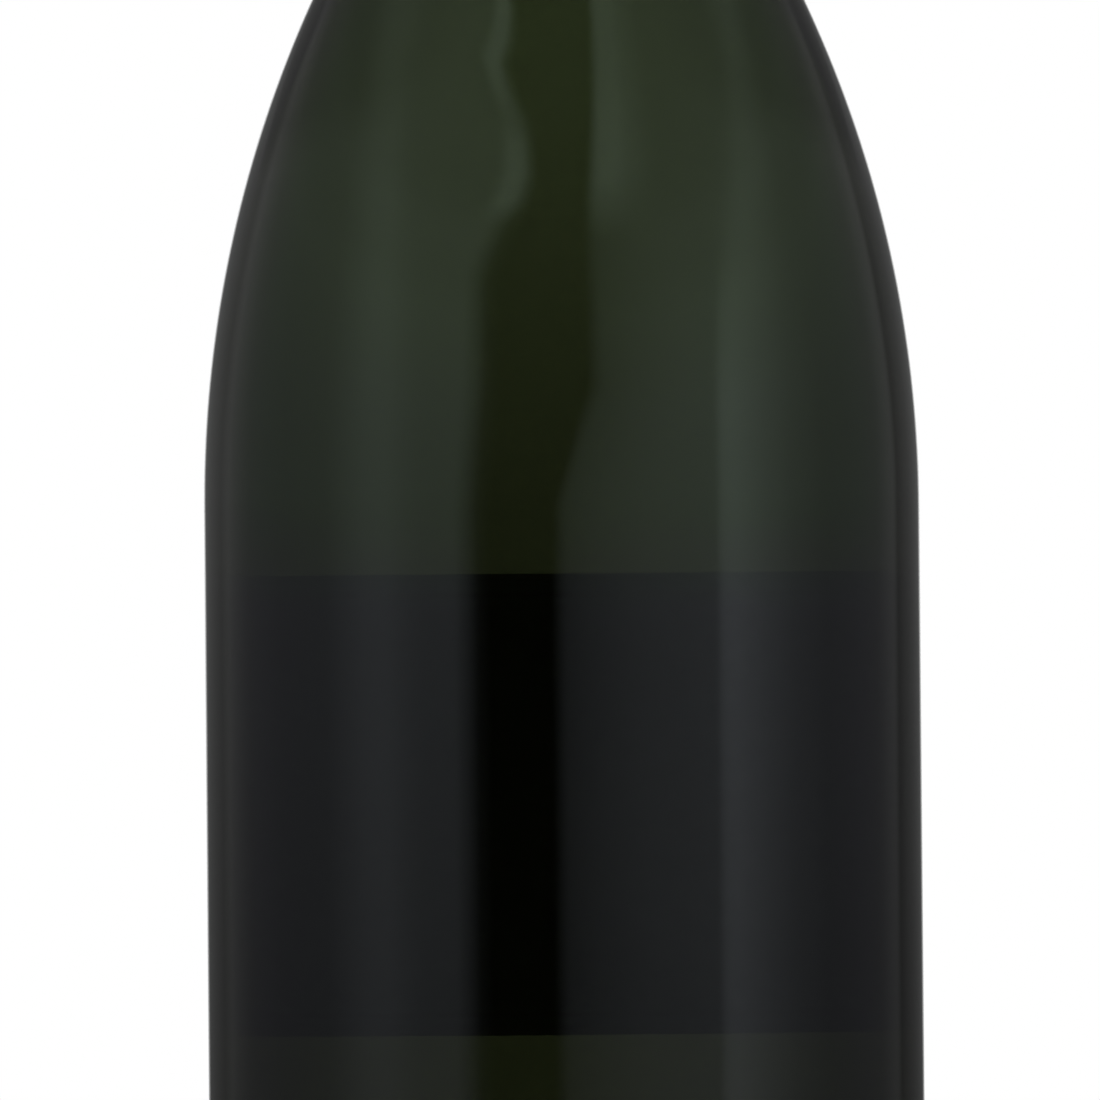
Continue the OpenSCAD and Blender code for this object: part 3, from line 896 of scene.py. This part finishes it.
class BOTTLE_OT_cork(Operator):
    """Finish the cork's body and its two discs"""
    bl_idname = "bottle.cork"
    bl_label = "Cork"

    def execute(self, context):
        cork = settings().cork
        dress("cork_body", cork_material(cork))
        for node, name, turn in (("cork_disc_upper", "Upper natural cork", 0.0),
                                 ("cork_disc_lower", "Lower natural cork", 2.0)):
            dress(node, disc_material(name, cork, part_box(node)[1].z, turn))
        return {"FINISHED"}


class BOTTLE_OT_plaque(Operator):
    """Finish the pressed plaque"""
    bl_idname = "bottle.plaque"
    bl_label = "Plaque"

    def execute(self, context):
        dress("plaque", plaque_material(settings().plaque.metal))
        return {"FINISHED"}


def wire_finish():
    return bpy.data.materials.get("Galvanised wire") or wire_material(settings().wire.steel)


class BOTTLE_OT_cage(Operator):
    """Twist the four legs of the cage, its top ring, eyes and belt"""
    bl_idname = "bottle.cage"
    bl_label = "Wire cage"
    LEGS = 4

    def execute(self, context):
        w = settings().wire
        steel = wire_finish()
        belt_z = (BELT_LOW.z + BELT_HIGH.z) / 2
        belt_c = BELT_HIGH.x - w.belt_r
        bend_c = w.leg_c - w.bend_r
        up = Vector((0, 0, 1))
        legs, plain = [], []
        for i in range(self.LEGS):
            turn = 2 * pi * (i + 0.5) / self.LEGS
            out = Vector((cos(turn), sin(turn), 0))
            path = [out * (w.top_c + (bend_c - w.top_c) * k / 4) + up * w.leg_z for k in range(4)]
            bend, _ = circle_path(out * bend_c + up * (w.leg_z - w.bend_r), w.bend_r, up, out, 20,
                                  0.0, 90.0)
            path += bend
            foot = belt_z + w.eye_r
            steps = 60
            start = w.leg_z - w.bend_r
            for k in range(1, steps + 1):
                part = k / steps
                z = start + (foot - start) * part
                lean = max(0.0, (part - 0.8) / 0.2)
                r = w.leg_c + (belt_c + 0.15 * MM - w.leg_c) * lean * lean * (3 - 2 * lean) * 0.0
                path.append(out * r + up * z)
            legs.append((path, False))
            plain.append(circle_path(out * belt_c + up * belt_z, w.eye_r, out, up, 28))
        plain.append(circle_path(up * w.top_z, w.top_c, (1, 0, 0), (0, 1, 0), 120))
        twisted = wound("legs", legs, w.cage_r, w.cage_r, w.lay, 2, steel)
        single = wound("rings", plain, w.cage_r, 0.0, w.lay, 1, steel)
        finish_mesh("cage_legs", joined("cage_legs", [twisted, single]), steel, "cage",
                    ["cage_wire"], 60)
        belt = wound("belt", [circle_path(up * belt_z, belt_c, (1, 0, 0), (0, 1, 0), 160)],
                     w.belt_r, 0.0, w.lay, 1, steel)
        finish_mesh("belt", belt, steel, "cage", ["cage_belt"], 60)
        return {"FINISHED"}


class BOTTLE_OT_key(Operator):
    """Twist the key's root and stem and bend its loop"""
    bl_idname = "bottle.key"
    bl_label = "Key"

    def execute(self, context):
        w = settings().wire
        steel = wire_finish()
        belt_z = (BELT_LOW.z + BELT_HIGH.z) / 2
        out, up, across = Vector((0, -1, 0)), Vector((0, 0, 1)), Vector((1, 0, 0))
        root = [out * (w.root_in + w.root_len * k / 4) + up * belt_z for k in range(5)]
        root_mesh = wound("root", [(root, False)], w.belt_r, w.belt_r, w.key_lay, 2, steel)
        finish_mesh("key_root_wire", root_mesh, steel, "key_root", ["key_root"], 60)
        loop_r = w.key_w / 2 - w.belt_r
        loop_low = belt_z + w.stem + loop_r
        loop_high = belt_z + w.key_len - w.belt_r - loop_r
        centre = out * w.key_c
        stem_steps = 40
        stem = [centre + up * (belt_z + w.stem * k / stem_steps) for k in range(stem_steps + 1)]
        low, _ = circle_path(centre + up * loop_low, loop_r, across, up, 40, 180.0, 180.0)
        high, _ = circle_path(centre + up * loop_high, loop_r, across, up, 40, 0.0, 180.0)
        loop = low[:-1] + [low[-1]] + high
        stem_mesh = wound("stem", [(stem, False)], w.belt_r, w.belt_r, w.key_lay, 2, steel)
        loop_mesh = wound("loop", [(loop, True)], w.belt_r, 0.0, w.key_lay, 1, steel)
        fold = [centre + up * belt_z + across * (w.belt_r * 1.8 * (k / 6 - 0.5) * 2) for k in range(7)]
        fold_mesh = wound("fold", [(fold, False)], w.belt_r, w.belt_r, w.key_lay, 2, steel)
        finish_mesh("key_wire", joined("key_wire", [stem_mesh, loop_mesh, fold_mesh]), steel,
                    "key", ["key_loop"], 60)
        return {"FINISHED"}


def crumple(x, y, z, size, seed):
    """Sharp creases of about the given size, from 0 to 1, at a point of a sheet."""
    point = Vector((x, y, z)) / size
    value = 0.0
    for octave, weight in ((1.0, 0.6), (2.1, 0.28), (4.3, 0.12)):
        value += weight * (1.0 - min(1.0, abs(noise.noise(point * octave + Vector((seed, seed, 0)))) * 2.2))
    return value


def along(line, place):
    """The value at a place of a line of (place, value) pairs, with an even rise between them."""
    for (a, low), (b, high) in zip(line, line[1:]):
        if place < b:
            return low + (high - low) * smooth((place - a) / (b - a))
    return line[-1][1]


def bridged(off, half, top, ground):
    """Radius of a sheet stretched from a post of radius top and half-width half down to the ground."""
    return ground / cos(max(0.0, acos(ground / top) - max(0.0, off - half))) if top > ground else ground


class BOTTLE_OT_foil(Operator):
    """Press the foil cap over the cage and wrap the sleeve round the neck"""
    bl_idname = "bottle.foil"
    bl_label = "Foil"
    # Millimetres over the cap's lower edge, and the foil's outer radius between the cage's legs
    HOLLOW = ((10.0, 16.5), (14.0, 16.35), (20.0, 16.35), (25.0, 16.1), (31.0, 16.2), (37.5, 16.7),
              (46.7, 16.85))
    KEY_TURN = -pi / 2

    def cap_outline(self, shape, f):
        """The cap's outer face, from its lower edge to near the axis, as in the CAD part."""
        low_z = CAP_LOW.z
        low_r = shape.radius(low_z, -f.gap)
        slope = [(low_r + f.solid + (f.belly_r - low_r) * (1 - cos(pi * i / 24)) / 2,
                  low_z + f.draw * i / 24) for i in range(25)]
        side = [(f.belly_r + f.solid, low_z + f.draw + (f.belly_z - low_z - f.draw) * i / 30)
                for i in range(1, 31)]
        edge = arc((f.head_r - f.round_r, f.top_z - f.round_r), f.round_r + f.solid, 0, 90, 24)
        neck = [(side[-1][0] + (edge[0][0] - side[-1][0]) * i / 14,
                 side[-1][1] + (edge[0][1] - side[-1][1]) * i / 14) for i in range(1, 14)]
        top = [((f.head_r - f.round_r) * (1 - i / 17), f.top_z + f.solid) for i in range(1, 17)]
        return slope + side + neck + edge + top

    def pleat(self, f, turn, z):
        """An uneven row of overlapping folds round the foil, from 0 to 1."""
        t = f.pleats * turn / (2 * pi) + 0.5 * noise.noise(Vector((cos(turn) * 2, sin(turn) * 2, z * 40)))
        t -= floor(t)
        return t / 0.8 if t < 0.8 else (1 - t) / 0.2

    def key_wire(self, w, across, z):
        """How near a place is to the middle of the key's wire under the foil, from 0 to 1."""
        belt_z = (BELT_LOW.z + BELT_HIGH.z) / 2
        loop_r = w.key_w / 2 - w.belt_r
        low, high = belt_z + w.stem + loop_r, belt_z + w.key_len - w.belt_r - loop_r
        away = abs(hypot(across, z - min(max(z, low), high)) - loop_r)
        if z < belt_z + w.stem:
            away = min(away, abs(across))
        return exp(-(away / (0.9 * MM)) ** 2)

    def cap_radius(self, f, w, turn, z):
        """Outer radius of the foil that is stretched over the legs and the key, at least 10 mm up."""
        ground = along(self.HOLLOW, (z - CAP_LOW.z) / MM) * MM
        off_leg = abs(turn % (pi / 2) - pi / 4)
        off_key = abs((turn - self.KEY_TURN + pi) % (2 * pi) - pi)
        leg = f.over_leg - (f.over_leg - ground) * smooth((CAP_LOW.z + 12.5 * MM - z) / (3 * MM)) * 0.7
        past = smooth((z - f.belly_z - 0.3 * MM) / (6 * MM))
        key = f.over_key + (ground - f.over_key) * past
        half = (w.key_w / 2 + 0.4 * MM) / w.key_c
        press = 0.45 * MM * (1 - past) * smooth((half - off_key) / 0.1 + 1) * smooth(
            (z - CAP_LOW.z - f.draw - 1.5 * MM) / (3 * MM))
        press *= 1 - self.key_wire(w, off_key * w.key_c, z)
        return max(bridged(off_leg, 0.03, leg, ground), bridged(off_key, half, key, ground) - press)

    def execute(self, context):
        g, f, w = settings().glass, settings().foil, settings().wire
        shape = GlassShape(g)
        gold = foil_material("Champagne foil", f.gold, 1.0)
        outline = self.cap_outline(shape, f)
        rows, columns = len(outline) - 1, f.columns
        low_r, low_z = outline[0]
        full_z, shoulder_z = low_z + f.draw, f.top_z - f.round_r

        def cap_point(i, k):
            r, z = outline[i]
            turn = 2 * pi * k / columns
            c, s = cos(turn), sin(turn)
            rise = z - low_z
            leg = exp(-((abs(turn % (pi / 2) - pi / 4)) / 0.085) ** 2)
            off_key = abs((turn - self.KEY_TURN + pi) % (2 * pi) - pi)
            if z < f.belly_z + 2 * MM:
                leg = max(leg, self.key_wire(w, off_key * w.key_c, z))
            folds = self.pleat(f, turn, z)
            creases = f.crease * crumple(r * c, r * s, z, 6 * MM, 3.0) * smooth(rise / (3 * MM))
            dents = 0.2 * MM * (0.5 + noise.noise(Vector((c * 2.2, s * 2.2, z * 130))))
            if i >= rows - 16:
                flat = r / (f.head_r - f.round_r)
                wire = exp(-((r - w.top_c) / (0.9 * MM)) ** 2)
                sag = 0.36 * MM * (1 - leg * (flat > 0.8)) * (1 - wire) * min(1.0, flat * 1.4)
                return (r * c, r * s, z - sag - creases * 0.8)
            wide = self.cap_radius(f, w, turn, min(max(z, full_z), shoulder_z))
            loose = smooth((rise - f.draw * 0.6) / (7 * MM))
            fine = f.pleat * folds * (0.2 + 0.5 * exp(-max(0.0, rise - f.draw) / (5 * MM)))
            inward = (fine * (1 - 0.8 * leg) + dents * (1 - leg)) * loose + creases * (1 - 0.6 * leg)
            if z < full_z:
                r = low_r + (wide - low_r) * (1 - cos(pi * rise / f.draw)) / 2
                inward += f.pleat * folds * sin(pi * rise / f.draw) ** 0.8
            elif z > shoulder_z:
                part = (z - shoulder_z) / (f.round_r + f.solid)
                r -= (f.head_r + f.solid - wide) * (1 - part)
                z -= inward * part * 0.5
                inward *= 1 - part
            else:
                r = wide
            return ((r - inward) * c, (r - inward) * s, z)

        cap = shell("foil_hood", rows, columns, cap_point, f.sheet, True)
        finish_mesh("foil_hood", cap, gold, "foil_cap", ["foil_cap"], 70)

        low, high = SLEEVE_LOW.z, SLEEVE_HIGH.z
        sleeve_rows = 90

        def sleeve_point(i, k):
            z = low + (high - low) * i / sleeve_rows
            turn = 2 * pi * k / columns
            r = shape.radius(z, -f.gap - f.solid)
            lap = ((turn - 2.2) % (2 * pi)) / (2 * pi)
            step = 0.07 * MM * (1 - min(1.0, lap * 40))
            r -= 0.07 * MM * crumple(cos(turn) * r, sin(turn) * r, z * 0.4, 9 * MM, 9.0) + step * 0.5
            return (r * cos(turn), r * sin(turn), z)

        sleeve = shell("neck_foil", sleeve_rows, columns, sleeve_point, f.sheet, False)
        finish_mesh("neck_foil", sleeve, gold, "bottle", ["foil_sleeve"], 70)
        return {"FINISHED"}


class BOTTLE_OT_strip(Operator):
    """Finish the tear strip and its tab and set the perforation's ties"""
    bl_idname = "bottle.strip"
    bl_label = "Tear strip"
    TIES = 44
    COLUMNS, ROWS, BEAD = 40, 12, 14

    def tab(self, f):
        """The pull tab: a folded bead at its hinge and a thin flap with round corners that curls up."""
        low, high = TAB_LOW.z, TAB_HIGH.z
        points, faces = [], []
        for side in (-0.5, 0.5):
            for k in range(self.COLUMNS + 1):
                part = k / self.COLUMNS
                turn = f.tab_turn + f.tab_len / f.tab_c * part
                curl = f.tab_curl * smooth((part - 0.45) / 0.55) ** 1.5
                rest = max(0.0, (part - 1) * f.tab_len + f.tab_corner)
                inset = f.tab_corner - sqrt(max(0.0, f.tab_corner ** 2 - rest ** 2))
                for i in range(self.ROWS + 1):
                    z = low + inset + (high - low - 2 * inset) * i / self.ROWS
                    rib = 0.06 * MM * sin(part * 9 * pi) ** 2 * (0.15 < i / self.ROWS < 0.85) * (part > 0.3)
                    r = f.tab_c + curl + rib + side * f.tab_sheet
                    points.append((r * cos(turn), r * sin(turn), z))
        span = self.ROWS + 1
        count = (self.COLUMNS + 1) * span
        for side in (0, 1):
            for k in range(self.COLUMNS):
                for i in range(self.ROWS):
                    a = side * count + k * span + i
                    faces.append((a, a + 1, a + 1 + span, a + span))
        rim = (list(range(span)) + [k * span + self.ROWS for k in range(1, self.COLUMNS + 1)]
               + [self.COLUMNS * span + i for i in range(self.ROWS - 1, -1, -1)]
               + [k * span for k in range(self.COLUMNS - 1, 0, -1)])
        for a, b in zip(rim, rim[1:] + rim[:1]):
            faces.append((a, b, b + count, a + count))
        flap = bpy.data.meshes.new("flap")
        flap.from_pydata(points, [], faces)
        bead_r = TAB_BEAD_R - f.tab_sheet * 0.2
        bead = revolved("bead", [(0.0, low)] + arc((bead_r * 0.75, low + bead_r * 0.25), bead_r * 0.25,
                                                   -90, 0, 4)
                        + arc((bead_r * 0.75, high - bead_r * 0.25), bead_r * 0.25, 0, 90, 4)
                        + [(0.0, high)], 20)
        bead.transform(Matrix.Translation((f.tab_c * cos(f.tab_turn), f.tab_c * sin(f.tab_turn), 0)))
        return joined("pull_tab", [outward(flap), bead])

    def execute(self, context):
        g, f = settings().glass, settings().foil
        shape = GlassShape(g)
        material = foil_material("Strip foil", f.strip, 0.4)
        dress("tear_strip", material)
        finish_mesh("pull_tab", self.tab(f), material, "tear_tab", ["tear_tab"], 60)
        tree = tie_tree()
        ties = []
        for z in (STRIP_LOW.z, STRIP_HIGH.z):
            r = shape.radius(z, -f.gap - f.solid / 2)
            size = (0.14 * MM, 0.5 * MM, 0.36 * MM)
            ties.append(run_tree("ties", tree, {"Count": self.TIES, "Ring radius": r, "Height": z,
                                                "Tie size": size, "Material": material}))
        finish_mesh("strip_ties", joined("strip_ties", ties), material, "tear_strip",
                    (), 30)
        return {"FINISHED"}


# The soft light that the glass mirrors. Each pair is a place and a brightness. For the boxes, the
# place is in degrees from the camera's side. For the gap between them it is in degrees to the right
# of that side, and for the height it is the sine of the angle over the horizon.
RIGHT_BOX = ((0, 0.38), (14, 0.42), (26, 0.46), (40, 0.50), (50, 0.54), (53, 0.86), (57, 0.90),
             (62, 0.78), (70, 0.60), (80, 0.42), (93, 0.29), (108, 0.25), (122, 0.215), (130, 0.235),
             (134, 0.225), (138, 0.12), (144, 0.135), (166, 0.145), (173, 1.0), (180, 1.0))
LEFT_BOX = ((0, 0.38), (30, 0.42), (46, 0.44), (54, 0.52), (58, 0.58), (66, 0.55), (73, 0.45),
            (82, 0.33), (100, 0.27), (120, 0.225), (136, 0.25), (143, 0.16), (166, 0.14), (173, 1.0),
            (180, 1.0))
GAP = ((-60, 1.0), (-35, 1.0), (-31, 0.6), (-27, 0.12), (-23, 0.0), (-3.5, 0.0), (2, 0.56), (14, 0.80), (28, 0.95),
       (60, 1.0))
RIM = ((-60, 0.0), (-41, 0.0), (-36, 0.8), (-31, 1.1), (-28, 0.45), (-24, 0.0), (-2, 0.0), (2.5, 1.2), (10, 1.2),
       (12, 1.0), (14, 0.7), (17, 0.6), (19, 0.45), (24, 0.14), (28, 0.0), (60, 0.0))
# How much of the rim shows on the gap's left, and by how many degrees that edge steps to the right
GLOW = ((0.0, 0.0), (0.455, 0.0), (0.5, 0.9), (0.54, 0.95), (0.58, 0.85), (0.615, 0.25), (0.65, 0.7), (0.69, 1.2),
        (1.0, 1.1))
STEP = ((0.0, 0.0), (0.31, -2.0), (0.37, -2.5), (0.41, 0.0), (0.455, 4.0), (0.5, 10.0), (0.54, 12.5), (0.58, 11.5),
        (0.615, 10.3), (0.65, 3.0), (0.685, -3.0), (0.72, -0.5), (0.755, -1.5), (0.785, -7.0), (1.0, -7.0))
HEIGHT = ((-0.15, 1.0), (-0.1, 0.8), (-0.045, 0.69), (-0.006, 0.945), (0.0, 1.02), (0.012, 1.09), (0.07, 1.10),
          (0.135, 1.13), (0.19, 1.176), (0.25, 1.215), (0.31, 1.285), (0.37, 1.165), (0.43, 1.17), (0.48, 1.0),
          (0.52, 0.95), (0.57, 0.94), (0.62, 0.88), (0.67, 0.8), (0.73, 0.75), (1.0, 0.75))


class BOTTLE_OT_studio(Operator):
    """Set the floor, the soft light and the photograph's camera"""
    bl_idname = "bottle.studio"
    bl_label = "Studio"

    def ramp(self, tree, value, stops):
        node = add(tree, "ShaderNodeValToRGB", inputs={0: value})
        elements = node.color_ramp.elements
        elements[0].position, elements[1].position = 0.0, 1.0
        low, high = stops[0][0], stops[-1][0]
        for degrees, brightness in stops[1:-1]:
            elements.new((degrees - low) / (high - low))
        for element, (degrees, brightness) in zip(elements, stops):
            element.position = (degrees - low) / (high - low)
            element.color = (brightness, brightness, brightness, 1.0)
        return node.outputs[0]

    def degrees(self, tree, value, stops):
        """The angle at a place of a line of (place, degrees) pairs whose angles are under 15 degrees."""
        part = self.ramp(tree, value, [(place, angle / 30 + 0.5) for place, angle in stops])
        return ranged(tree, part, 0.0, 1.0, -radians(15), radians(15))

    def world(self, studio):
        world = bpy.data.worlds.new("Soft studio")
        bpy.context.scene.world = world
        world.use_nodes = True
        world.cycles.sampling_method = "NONE"
        tree = world.node_tree
        tree.nodes.clear()
        way = add(tree, "ShaderNodeSeparateXYZ",
                  inputs={0: add(tree, "ShaderNodeTexCoord").outputs["Generated"]})
        x, y, z = way.outputs
        signed = maths(tree, "ARCTAN2", x, maths(tree, "MULTIPLY", y, -1.0))
        away = maths(tree, "ABSOLUTE", signed)
        # The right box opens out overhead more than the left one does
        flare = maths(tree, "MULTIPLY", maths(tree, "POWER", ranged(tree, z, 0.0, 0.6, 0.0, 0.6), 3.0),
                      maths(tree, "MULTIPLY", -radians(studio.flare),
                            maths(tree, "MAXIMUM", maths(tree, "GREATER_THAN", x, 0.0),
                                  ranged(tree, away, radians(75), radians(130), 0.6, 1.0))))
        part = maths(tree, "DIVIDE", maths(tree, "ADD", away, flare), pi)
        # Which height in front is on the same row of the bottle, and how the boxes' far sides fade up there
        row = maths(tree, "DIVIDE", z, maths(tree, "COSINE", maths(
            tree, "MULTIPLY", maths(tree, "MINIMUM", away, radians(150)), 0.5)))
        kept = maths(tree, "MULTIPLY_ADD", ranged(tree, row, 0.63, 0.73, 0.0, -0.24),
                     ranged(tree, away, radians(50), radians(75), 0.0, 1.0), 1.0)
        right = maths(tree, "MULTIPLY", maths(tree, "GREATER_THAN", x, 0.0),
                      ranged(tree, z, 0.15, 0.45, 1.0, 0.0))
        boxes = mixed(tree, right, self.ramp(tree, part, LEFT_BOX), self.ramp(tree, part, RIGHT_BOX))
        side = mixed(tree, ranged(tree, z, 0.4, 0.48, 0.0, 1.0),
                     ranged(tree, signed, -radians(12), -radians(8), 0.3, 1.0),
                     ranged(tree, signed, -radians(9), -radians(1), 0.3, 1.0))
        lean = maths(tree, "MULTIPLY", ranged(tree, z, 0.0, 0.2, 0.0, -radians(studio.gap_lean)), side)
        wide = radians(GAP[-1][0])
        step = maths(tree, "MULTIPLY", self.degrees(tree, z, STEP),
                     ranged(tree, signed, -radians(10), radians(2), 1.0, 0.0))
        aside = ranged(tree, signed, -radians(2), radians(6), 0.0, 1.0)
        step = maths(tree, "MULTIPLY_ADD", ranged(tree, z, 0.5, 0.75, -radians(2), radians(5)), aside, step)
        turned = maths(tree, "SUBTRACT", maths(tree, "ADD", signed, lean), step)
        across = ranged(tree, turned, -wide, wide, 0.0, 1.0)
        overhead = mixed(tree, aside, self.ramp(tree, z, GLOW), ranged(tree, z, 0.44, 0.53, 0.0, 1.0))
        gap = maths(tree, "MULTIPLY_ADD", self.ramp(tree, across, RIM), overhead,
                    self.ramp(tree, across, GAP))
        height = self.ramp(tree, ranged(tree, z, HEIGHT[0][0], HEIGHT[-1][0], 0.0, 1.0), HEIGHT)
        shade = maths(tree, "MULTIPLY", maths(tree, "MULTIPLY", gap, height),
                      maths(tree, "MULTIPLY", kept, studio.box_light))
        plain = add(tree, "ShaderNodeVectorMath", operation="SCALE", inputs={0: boxes, "Scale": shade})
        colour = mixed(tree, ranged(tree, z, -0.004, 0.006, 0.0, 1.0), studio.low_colour, studio.box_colour)
        colour = mixed(tree, ranged(tree, z, 0.15, 0.32, 0.0, 1.0), colour, studio.top_colour)
        colour = mixed(tree, ranged(tree, away, radians(112), radians(138), 0.0, 1.0),
                       colour, studio.back_colour)
        tinted = add(tree, "ShaderNodeVectorMath", operation="MULTIPLY",
                     inputs={0: plain.outputs[0], 1: colour}).outputs[0]
        top = ranged(tree, z, 0.8, 0.95, 0.0, 1.0)
        low = ranged(tree, z, -0.4, -0.08, 1.0, 0.0)
        soft = mixed(tree, low, mixed(tree, top, tinted, (0.6, 0.6, 0.6)), (0.62, 0.635, 0.65))
        path = add(tree, "ShaderNodeLightPath")
        through = path.outputs["Is Transmission Ray"]
        seen = maths(tree, "MAXIMUM", path.outputs["Is Camera Ray"], through)
        lit = mixed(tree, path.outputs["Is Glossy Ray"], (studio.level,) * 3, soft)
        whole = mixed(tree, seen, lit, (1.0, 1.0, 1.0))
        background = add(tree, "ShaderNodeBackground", inputs={"Color": whole, "Strength": 1.0})
        add(tree, "ShaderNodeOutputWorld", inputs={0: background.outputs[0]})

    def floor(self, s):
        material, tree, shader, out = new_material("Pale floor")
        point = add(tree, "ShaderNodeTexCoord").outputs["Object"]
        far = add(tree, "ShaderNodeVectorMath", operation="LENGTH", inputs={0: point}).outputs["Value"]
        grain = noise_value(tree, point, 300.0, 3.0)
        tone = mixed(tree, grain, [c * 0.985 for c in s.floor], s.floor)
        tree.links.new(tone, shader.inputs["Base Color"])
        shader.inputs["Roughness"].default_value = 0.9
        shader.inputs["Specular IOR Level"].default_value = 0.1
        white = add(tree, "ShaderNodeEmission", inputs={"Color": (1, 1, 1, 1), "Strength": 1.0})
        fade = ranged(tree, far, 0.22, 0.5, 0.0, 1.0)
        blend = add(tree, "ShaderNodeMixShader", inputs={0: fade, 1: shader.outputs[0],
                                                         2: white.outputs[0]})
        # A mirrored floor fades into the world's own lower half, so no edge of it shows in the glass
        path = add(tree, "ShaderNodeLightPath")
        mirrored = maths(tree, "MULTIPLY", path.outputs["Is Glossy Ray"],
                         maths(tree, "SUBTRACT", 1.0, path.outputs["Is Transmission Ray"]))
        gone = maths(tree, "MULTIPLY", mirrored, ranged(tree, far, 0.2, s.floor_r, 0.0, 1.0))
        clear = add(tree, "ShaderNodeBsdfTransparent")
        whole = add(tree, "ShaderNodeMixShader", inputs={0: gone, 1: blend.outputs[0],
                                                         2: clear.outputs[0]})
        tree.links.new(whole.outputs[0], out.inputs["Surface"])
        mesh = revolved("floor", [(0.0, 0.0), (0.2, 0.0), (s.floor_r, 0.0), (s.floor_r, -0.004),
                                  (0.0, -0.004)], 96)
        mesh.materials.append(material)
        floor = bpy.data.objects.new("floor", mesh)
        bpy.context.scene.collection.objects.link(floor)

    def lamp(self, name, place, size, power):
        data = bpy.data.lights.new(name, "AREA")
        data.shape = "RECTANGLE"
        data.size, data.size_y = size
        data.energy = power
        lamp = bpy.data.objects.new(name, data)
        place = Vector(place)
        lamp.matrix_world = (Matrix.Translation(place)
                             @ (Vector((0, 0, 0.15)) - place).to_track_quat("-Z", "Y").to_matrix().to_4x4())
        lamp.visible_camera = lamp.visible_glossy = lamp.visible_transmission = False
        bpy.context.scene.collection.objects.link(lamp)

    def camera(self, s):
        data = bpy.data.cameras.new("camera")
        data.type = "PERSP"
        data.sensor_fit = "HORIZONTAL"
        data.sensor_width = 36.0
        data.lens = data.sensor_width * s.distance / s.view_size
        data.clip_start, data.clip_end = 0.05, 50.0
        camera = bpy.data.objects.new("camera", data)
        bpy.context.scene.collection.objects.link(camera)
        place = Matrix.Translation((-s.view_side, -s.distance, s.view_height))
        camera.matrix_world = place @ Matrix.Rotation(pi / 2, 4, "X") @ Matrix.Rotation(-s.roll, 4, "Z")
        bpy.context.scene.camera = camera

    def execute(self, context):
        s = settings().studio
        self.world(s)
        self.floor(s)
        self.lamp("left box", (-0.9, -0.5, 0.6), (0.6, 1.0), 4.0)
        self.lamp("right box", (0.9, -0.6, 0.5), (0.5, 1.0), 6.0)
        self.camera(s)
        context.scene.view_settings.view_transform = "Standard"
        return {"FINISHED"}


STEPS = (BOTTLE_OT_studio, BOTTLE_OT_glass, BOTTLE_OT_wine, BOTTLE_OT_label, BOTTLE_OT_cork,
         BOTTLE_OT_plaque, BOTTLE_OT_cage, BOTTLE_OT_key, BOTTLE_OT_foil, BOTTLE_OT_strip)


class BOTTLE_PT_panel(Panel):
    """Lists the bottle's pieces in the sidebar"""
    bl_idname = "BOTTLE_PT_panel"
    bl_label = "Champagne bottle"
    bl_space_type = "VIEW_3D"
    bl_region_type = "UI"
    bl_category = "Bottle"

    def draw(self, context):
        for step in STEPS:
            self.layout.operator(step.bl_idname)
        for name in ("glass", "filling", "paper", "cork", "wire", "foil", "plaque", "studio"):
            group = getattr(context.scene.champagne_bottle, name)
            box = self.layout.box()
            for key in group.bl_rna.properties.keys():
                if key not in ("rna_type", "name"):
                    box.prop(group, key)


CLASSES = (BottleGlass, BottleFilling, BottlePaper, BottleCork, BottleWire, BottleFoil,
           BottlePlaque, BottleStudio, BottleSettings) + STEPS + (BOTTLE_PT_panel,)


def register():
    for item in CLASSES:
        bpy.utils.register_class(item)
    bpy.types.Scene.champagne_bottle = PointerProperty(type=BottleSettings, name="Champagne bottle",
                                                       description="Sizes and colours of the bottle")


def unregister():
    del bpy.types.Scene.champagne_bottle
    for item in reversed(CLASSES):
        bpy.utils.unregister_class(item)


def main():
    register()
    for step in STEPS:
        group, name = step.bl_idname.split(".")
        getattr(getattr(bpy.ops, group), name)()


if __name__ == "__main__":
    main()
